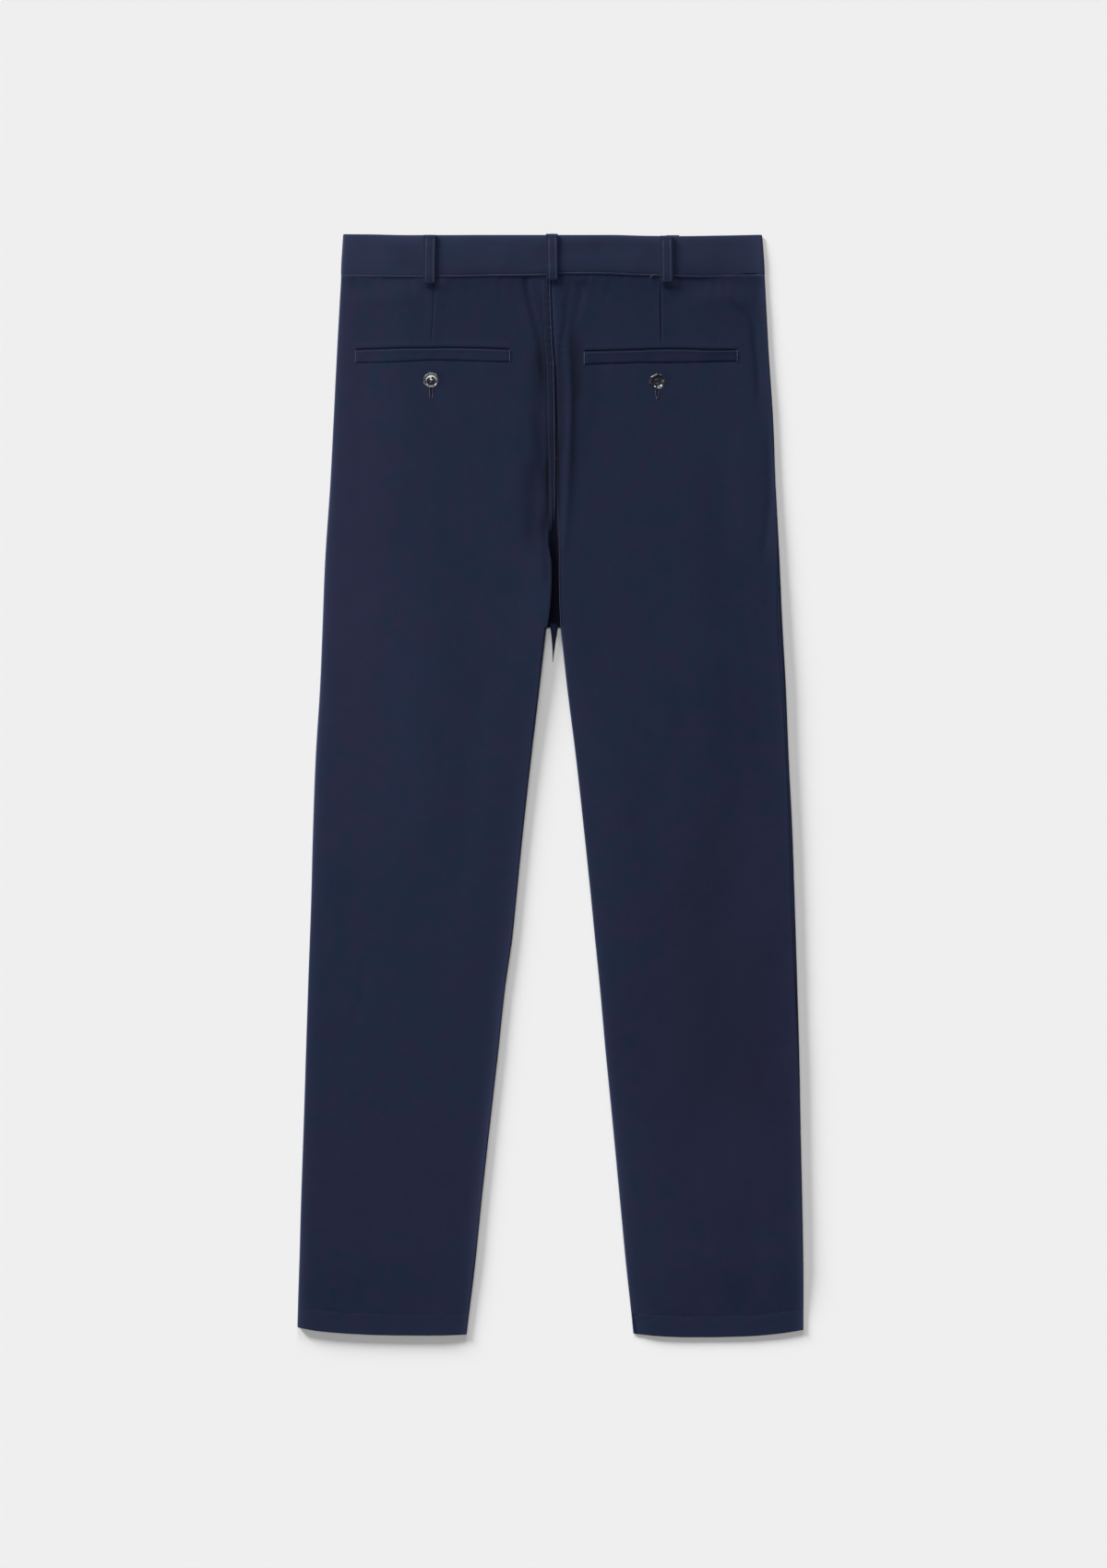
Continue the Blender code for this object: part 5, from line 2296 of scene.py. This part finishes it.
LEFT = Leg(
    half=Half.LEFT,
    side=Curve((
        (520.3, 195.3), (480.2, 197.2), (406.3, 201.2), (345.4, 204.2), (288.8, 207.1),
        (210.5, 212.3), (149.6, 214.6), (97.4, 216.7), (27.8, 221), (-41.8, 223.6), (-111.4, 225.4),
        (-181, 227.9), (-250.6, 230.2), (-320.2, 232.4), (-389.8, 234.8), (-459.4, 236.7),
        (-520.3, 238.4),
    )),
    inseam=Curve((
        (150.2, 3.3), (132.2, 5.3), (97.4, 9.2), (27.8, 17.4), (-41.8, 25.1), (-111.4, 32.1),
        (-146.2, 35.7), (-181, 40.9), (-250.6, 48.6), (-320.2, 56.5), (-389.8, 64.2),
        (-459.4, 71.3), (-520.3, 78.5),
    )),
    wrap=Curve(((520.3, 0), (-520.3, 0))),
    hem=Curve(((0, 2.6), (0.12, 2), (0.3, 1.9), (0.56, 2.5), (0.75, 4.2), (0.9, 6.6), (1, 9.6))),
    valley=Curve((
        (480.2, 9.8), (252, 9.4), (238, 8.2), (223.6, 6.6), (211, 4.5), (199, 3.5), (180, 3.9),
        (161, 4.8), (150, 5.9),
    )),
    channel=Curve((
        (480, 0), (262, 0), (248, 1.5), (236, 4.6), (223.6, 5.9), (211, 4), (199, 3), (180, 3.4),
        (161, 4.3), (150, 5.4),
    )),
    creases=(
        Crease(((-25.5, 500), (-22.6, 475), (-20, 459), (-14.8, 437.2), (-10, 415.4),
                (-8.3, 396.3), (-5.7, 378.9), (-4.6, 362)), -0.55, 3.6, 2.4),
        Crease(((-28, 476), (-23, 452), (-17.5, 430)), 0.16),
        Crease(((-12.5, 356), (-8, 320), (-6.5, 285)), -0.3, 3.5, 6),
        Crease(((-16, 312), (-17, 270), (-19, 220)), -0.4, 8, 8),
        Crease(((-36, 362), (-33.5, 306), (-35, 250)), 0.26, 9, 9),
        Crease(((-165.1, -140), (-177.1, -190), (-191.4, -252)), -0.14, 6, 5),
        Crease(((-150, 120), (-120, 40), (-108, -60)), 0.3, 18, 14),
        Crease(((-60, 140), (-72, 40), (-84, -120)), -0.28, 16, 14),
    ),
    # Patches of painted shade (rise above 0) and painted light (rise below 0).
    shades=(
        Crease(((-25.5, 505), (-22.6, 475), (-20, 459), (-14.8, 437.2), (-10, 415.4),
                (-8.3, 396.3), (-6.7, 378.9), (-6, 350)), 0.26, 3.4, 2.4),
        Crease(((-9, 476), (-8, 440), (-6, 405), (-5, 366)), 0.22, 3.6, 5),
        Crease(((-13, 430), (-12.5, 390), (-11.5, 345), (-10.5, 288)), 0.34, 9, 8),
        Crease(((-7, 350), (-5.5, 313), (-5.5, 275)), 0.16, 4, 7),
        Crease(((-14.5, 317), (-17, 262), (-19, 214)), 0.37, 9, 8),
        Crease(((-107, 475.5), (-99, 475.5)), -0.4),
        Crease(((-178, 466), (-150, 464), (-122, 466)), 0.13, 10, 12),
        Crease(((-190, 440), (-165, 436), (-140, 434)), 0.05, 20, 20),
        Crease(((-6.5, 268), (-5.5, 240), (-4.6, 214), (-3.6, 182)), 0.3, 3),
        Crease(((0, 200), (-30, -60), (-55, -280), (-85, -560), (-100, -650)), -0.15, 36, 36),
        Crease(((-5, 312), (-5.2, 270), (-6, 226)), 0.26, 3),
        Crease(((-2.8, 320), (-2.8, 280), (-2.9, 262), (-3.4, 236)), 0.46, 1.3, 1.6),
        Crease(((-155, 260), (-160, 80), (-165, -120)), -0.06, 45, 45),
    ),
    dark_reach=Curve((
        (480.2, 8.8), (252, 8.6), (238, 7.8), (223.6, 6.3), (211, 4.3), (199, 3.3), (180, 3.7),
        (161, 4.6), (150, 5.7),
    )),
    edge_wear=Curve((
        (480.2, 0.65), (400, 0.75), (132, 0.75), (-42, 0.7), (-150, 0.42), (-216, 0.35),
        (-300, 0.45), (-390, 0.6), (-477, 0.9), (-520.3, 0.9),
    )),
    inner_wear=Curve((
        (150, 0.15), (0, 0.2), (-42, 0.3), (-216, 0.75), (-303, 0.85), (-390, 0.85), (-477, 0.55),
        (-520.3, 0.55),
    )),
    seed=11,
    lapped=True,
)

RIGHT = Leg(
    half=Half.RIGHT,
    side=Curve((
        (520.3, 200.6), (480.2, 202.9), (406.3, 206.8), (345.4, 210.8), (288.8, 213),
        (210.5, 216.8), (149.6, 219.5), (97.4, 222.4), (27.8, 225.2), (-41.8, 228.7), (-111.4, 231),
        (-181, 233.2), (-250.6, 235.2), (-320.2, 236.6), (-389.8, 238.1), (-459.4, 239.3),
        (-520.3, 239.6),
    )),
    inseam=Curve((
        (150.2, 9.7), (132.2, 11.8), (97.4, 15.6), (27.8, 24.3), (-41.8, 32), (-111.4, 39.2),
        (-146.2, 42.6), (-181, 46.1), (-250.6, 52.4), (-320.2, 59.2), (-389.8, 65.8),
        (-459.4, 72.4), (-520.3, 78.5),
    )),
    wrap=Curve((
        (520.3, 0), (300, 0), (232, 2.4), (160, 6), (38, 4.4), (-108, 4.8), (-239, 3.2),
        (-330, 0.6), (-520.3, 0),
    )),
    hem=Curve(((0, 3.4), (0.12, 1.4), (0.3, 0), (0.56, 0.3), (0.75, 1.7), (0.9, 4.4), (1, 7))),
    valley=Curve((
        (480.2, 9), (450, 9), (400, 7), (340, 5.6), (290, 5), (252, 4.6), (223.6, 3.7), (199, 4.2),
        (180, 4.7), (161, 6.2), (150, 7.3),
    )),
    channel=Curve((
        (480, 0), (262, 0), (245, 1.6), (223.6, 3.2), (199, 3.7), (180, 4.2), (161, 5.7),
        (150, 6.8),
    )),
    creases=(
        Crease(((20.5, 492), (19.2, 475.5), (14.8, 459), (14.2, 437.2), (10.5, 415.4), (8.8, 396),
                (8.2, 354.4), (8.4, 300)), -0.26, 3, 2.6),
        Crease(((13.4, 440), (14.8, 424), (17.4, 400.5), (18.7, 380.5), (19.6, 358.7),
                (19.2, 328.2), (18.3, 302), (17, 275.9), (15.2, 249.8), (13.9, 223.6),
                (12, 196)), 0.52, 3.4),
        Crease(((23, 450), (22.5, 415), (24.6, 388.9), (24, 350), (23, 310)), -0.4, 7, 3),
        Crease(((24, 340), (25.4, 290), (25, 235)), -0.28, 7, 6),
        Crease(((26, 475), (34, 455)), -0.22, 2.6, 2.6),
        Crease(((33.5, 479), (28, 455), (23, 432)), -0.28, 3.4, 3.4),
        Crease(((58.3, 478), (52.4, 455)), -0.22, 3.4, 3.4),
        Crease(((36, 430), (36, 380), (34, 330)), 0.3, 7, 8),
        Crease(((163, 474), (169, 461.5), (178, 450), (188.1, 441.4), (193.4, 411.2), (196, 380),
                (197, 350)), -0.55, 3.8, 2.6),
        Crease(((203, 336), (206.4, 310), (206.8, 280), (206, 250), (200, 205)), -0.45, 3.6, 3.2),
        Crease(((198.9, -244.3), (231, -245.5)), -0.36, 2, 2.4),
        Crease(((190.6, -245), (205.4, -290)), -0.22, 3.4, 3.4),
        Crease(((120, 130), (140, 20), (158, -110)), -0.34, 18, 14),
        Crease(((60, 140), (66, 20), (80, -140)), 0.28, 14, 16),
    ),
    # Patches of painted shade (rise above 0) and painted light (rise below 0).
    shades=(
        Crease(((20.5, 492), (19.2, 475.5), (14.8, 459), (14.2, 437.2), (10.5, 415.4), (9, 396),
                (8.4, 354.4), (8.4, 280)), 0.26, 2.8, 2.4),
        Crease(((13, 420), (13, 392), (12.4, 354.4), (11.5, 324), (8.6, 300), (8.4, 262),
                (8.2, 240)), 0.26, 2.6, 6),
        Crease(((18.5, 450), (19.6, 435.5), (20.9, 395.4), (22.6, 367.5), (21.8, 345.8),
                (20.9, 324), (19.2, 297.9), (17.9, 262)), 0.34, 12, 2.4),
        Crease(((8, 345), (7.6, 308), (7.8, 270), (8, 240), (8.2, 205)), 0.3, 1.8, 1.6),
        Crease(((24, 432), (27, 408), (27, 385), (25, 352)), 0.2, 5, 5),
        Crease(((20, 474), (30, 474.5), (40, 474)), 0.2),
        Crease(((8, 290), (14, 180), (22, 90), (30, -20)), -0.09, 18, 18),
        Crease(((160, 470), (168, 430), (176, 350), (178, 200)), -0.14, 24, 24),
        Crease(((186, 110), (189, 60), (192, 0)), 0.07, 12, 12),
        Crease(((112, 475), (121, 476)), -0.5),
        Crease(((66, -140), (78, -240), (90, -330)), 0.07, 16, 22),
        Crease(((95, 0), (112, -190), (132, -380)), 0.06, 60, 60),
        Crease(((60, -470), (150, -475), (250, -470)), -0.09, 40, 40),
        Crease(((163, 476), (169, 461.5), (178, 450), (188.1, 441.4), (193.4, 411.2), (196, 380),
                (197, 350)), 0.16, 2.6, 2.2),
        Crease(((203, 340), (206.4, 300), (206.6, 250)), 0.14, 2.6, 2.2),
        Crease(((157, 150), (160, 20), (158, -120)), 0.14, 20, 20),
        Crease(((140, -40), (150, -180), (160, -330)), 0.13, 30, 30),
        Crease(((204, -110), (200, -230), (200, -340)), 0.12, 18, 24),
        Crease(((176, -380), (178, -440), (176, -510)), 0.1, 14, 14),
        Crease(((150, 330), (150, 240), (157, 130)), 0.12, 13, 15),
    ),
    dark_reach=Curve((
        (480.2, 2.4), (300, 2.4), (275, 3.2), (250, 3.7), (223.6, 3.9), (199, 4.4), (180, 4.9),
        (161, 6.4), (150, 7.4),
    )),
    edge_wear=Curve((
        (480.2, 0.6), (467, 0.6), (389, 0.5), (302, 0.48), (197, 0.46), (128, 0.55), (-46, 0.46),
        (-220, 0.34), (-394, 0.6), (-481, 0.95), (-520.3, 0.95),
    )),
    inner_wear=Curve((
        (150, 0.15), (-42, 0.35), (-111, 0.45), (-216, 0.6), (-303, 0.8), (-390, 0.9), (-477, 0.7),
        (-520.3, 0.6),
    )),
    seed=47,
    hem_fall=3.0,
    corner_fall=0.35,
)

POCKETS = (
    Pocket(
        leg=LEFT,
        upper=Curve((
            (-183.2, 410.7), (-170, 411.1), (-140, 411.9), (-113, 412.1), (-92, 412.3),
            (-50, 411.2), (-37.5, 410.6),
        )),
        lower=Curve((
            (-183.2, 399.3), (-148, 399.7), (-113, 401.5), (-94.8, 401.4), (-54.8, 400.2),
            (-37.5, 399.9),
        )),
        inner=-37.5,
        outer=-183.2,
        button=(-111.8, 382.2),
        dart=Crease(((-108.6, 481), (-109.8, 445), (-112, 411)), -0.24, 0.9, 0.9),
        dart_shade=0.06,
        tilt=(-2.5, 0.0),
        tacks=(-37.8, -183.1),
        hole=(1.35, 1.2),
        slit_tone=0.60,
        seam_tone=0.04,
    ),
    Pocket(
        leg=RIGHT,
        upper=Curve((
            (32.2, 409), (56, 409.6), (80.9, 410.2), (108.8, 411.2), (136.6, 410.7), (150.5, 410.2),
            (177.2, 410.6),
        )),
        lower=Curve((
            (32.2, 397.4), (56, 398.4), (80.9, 399.1), (108.8, 399.2), (136.6, 399.6),
            (177.2, 400.8),
        )),
        inner=32.2,
        outer=177.2,
        button=(101.2, 381.2),
        dart=Crease(((104.6, 481), (104.9, 445), (105.4, 411)), -0.5, 0.9, 0.9),
        dart_shade=0.30,
        tilt=(6.0, 3.0),
        tacks=(32.6, 176.8),
        hole=(1.5, 0.3),
        slit_tone=0.72,
        seam_tone=0.10,
        welt_tone=0.10,
    ),
)

LOOPS = (
    BeltLoop("belt_loop_back_left", -113.4, 517.8, 474.0, Face.BACK, lean=0.6),
    BeltLoop("belt_loop_back_centre", 2.1, 518.3, 477.2, Face.BACK, lean=-0.3, width=11.2, rise=0.8),
    BeltLoop("belt_loop_back_right", 110.0, 517.0, 474.8, Face.BACK, lean=-0.4),
    BeltLoop("belt_loop_front_left", -108.0, 519.6, 475.0, Face.FRONT),
    BeltLoop("belt_loop_front_right", 116.0, 519.6, 475.0, Face.FRONT),
)


def buttons() -> list[Button]:
    """The two pocket buttons on the back panels, and the waist button under the band.

    Returns:
        The three buttons.
    """
    made = []
    for pocket, dome, foot in zip(POCKETS, (2.0, -0.6), (0.66, 0.58)):
        x, y = pocket.button
        seat = float(pocket.leg.top(np.array([x]), np.array([y]))[0]) + 0.35
        made.append(Button(
            f"pocket_button_{pocket.leg.half.word}", (x, y, seat), 15.0, 2.7,
            (*pocket.tilt, 12.0), dome=dome, wall_foot=foot,
        ))
    made.append(Button(
        "waist_button", (13.0, 500.2, BAND_FRONT_Z - 0.3), 17.0, 2.55, (180.0, 0.0, 0.0)
    ))
    return made


def main() -> None:
    logging.basicConfig(level=logging.INFO, format="%(name)s: %(message)s")
    studio = Studio()
    studio.camera()
    studio.floor()
    studio.light()
    finishes = Finishes.made()

    panels: dict[str, tuple] = {}
    for leg, pocket in zip((LEFT, RIGHT), POCKETS):
        for panel in (Panel(leg, Face.BACK, pocket), Panel(leg, Face.FRONT)):
            panels[panel.name] = panel.dressed(finishes)
    band = Waistband(LEFT, RIGHT).dressed(finishes)
    straps = {loop.node: loop.dressed(finishes) for loop in LOOPS}
    welts = {pocket.leg.half: Welt(pocket).dressed(finishes) for pocket in POCKETS}
    fastened = {button.node: button.dressed(finishes) for button in buttons()}
    sewing = SeamSewing(LEFT, RIGHT).dressed(finishes)

    for half in Half:
        word = half.word
        on_back = [*welts[half], *fastened[f"pocket_button_{word}"]]
        if half is Half.LEFT:
            on_back += [sewing["centre_back_stitching"], sewing["centre_back_outer_stitching"]]
        on_front = [sewing[f"pocket_mouth_stitching_{word}"], sewing[f"hem_stitching_{word}"]]
        if half is Half.LEFT:
            on_front += [sewing["fly_stitching"], sewing["crotch_seam_tip"]]
        for face, pieces, beneath in (
            ("back", on_back, [f"front_{word}_cloth"]), ("front", on_front, []),
        ):
            piece, area, size = panels[f"{face}_{word}"]
        piece, area, size, stitches = band[f"waistband_{word}"]
        on_band = [stitches, *(p for name, made in straps.items() if word in name for p in made)]

    meshes = [thing for thing in bpy.context.scene.objects if thing.type == "MESH"]
    studio.linked_lights([mesh for mesh in meshes if mesh.name != "floor"])


if __name__ == "__main__":
    main()
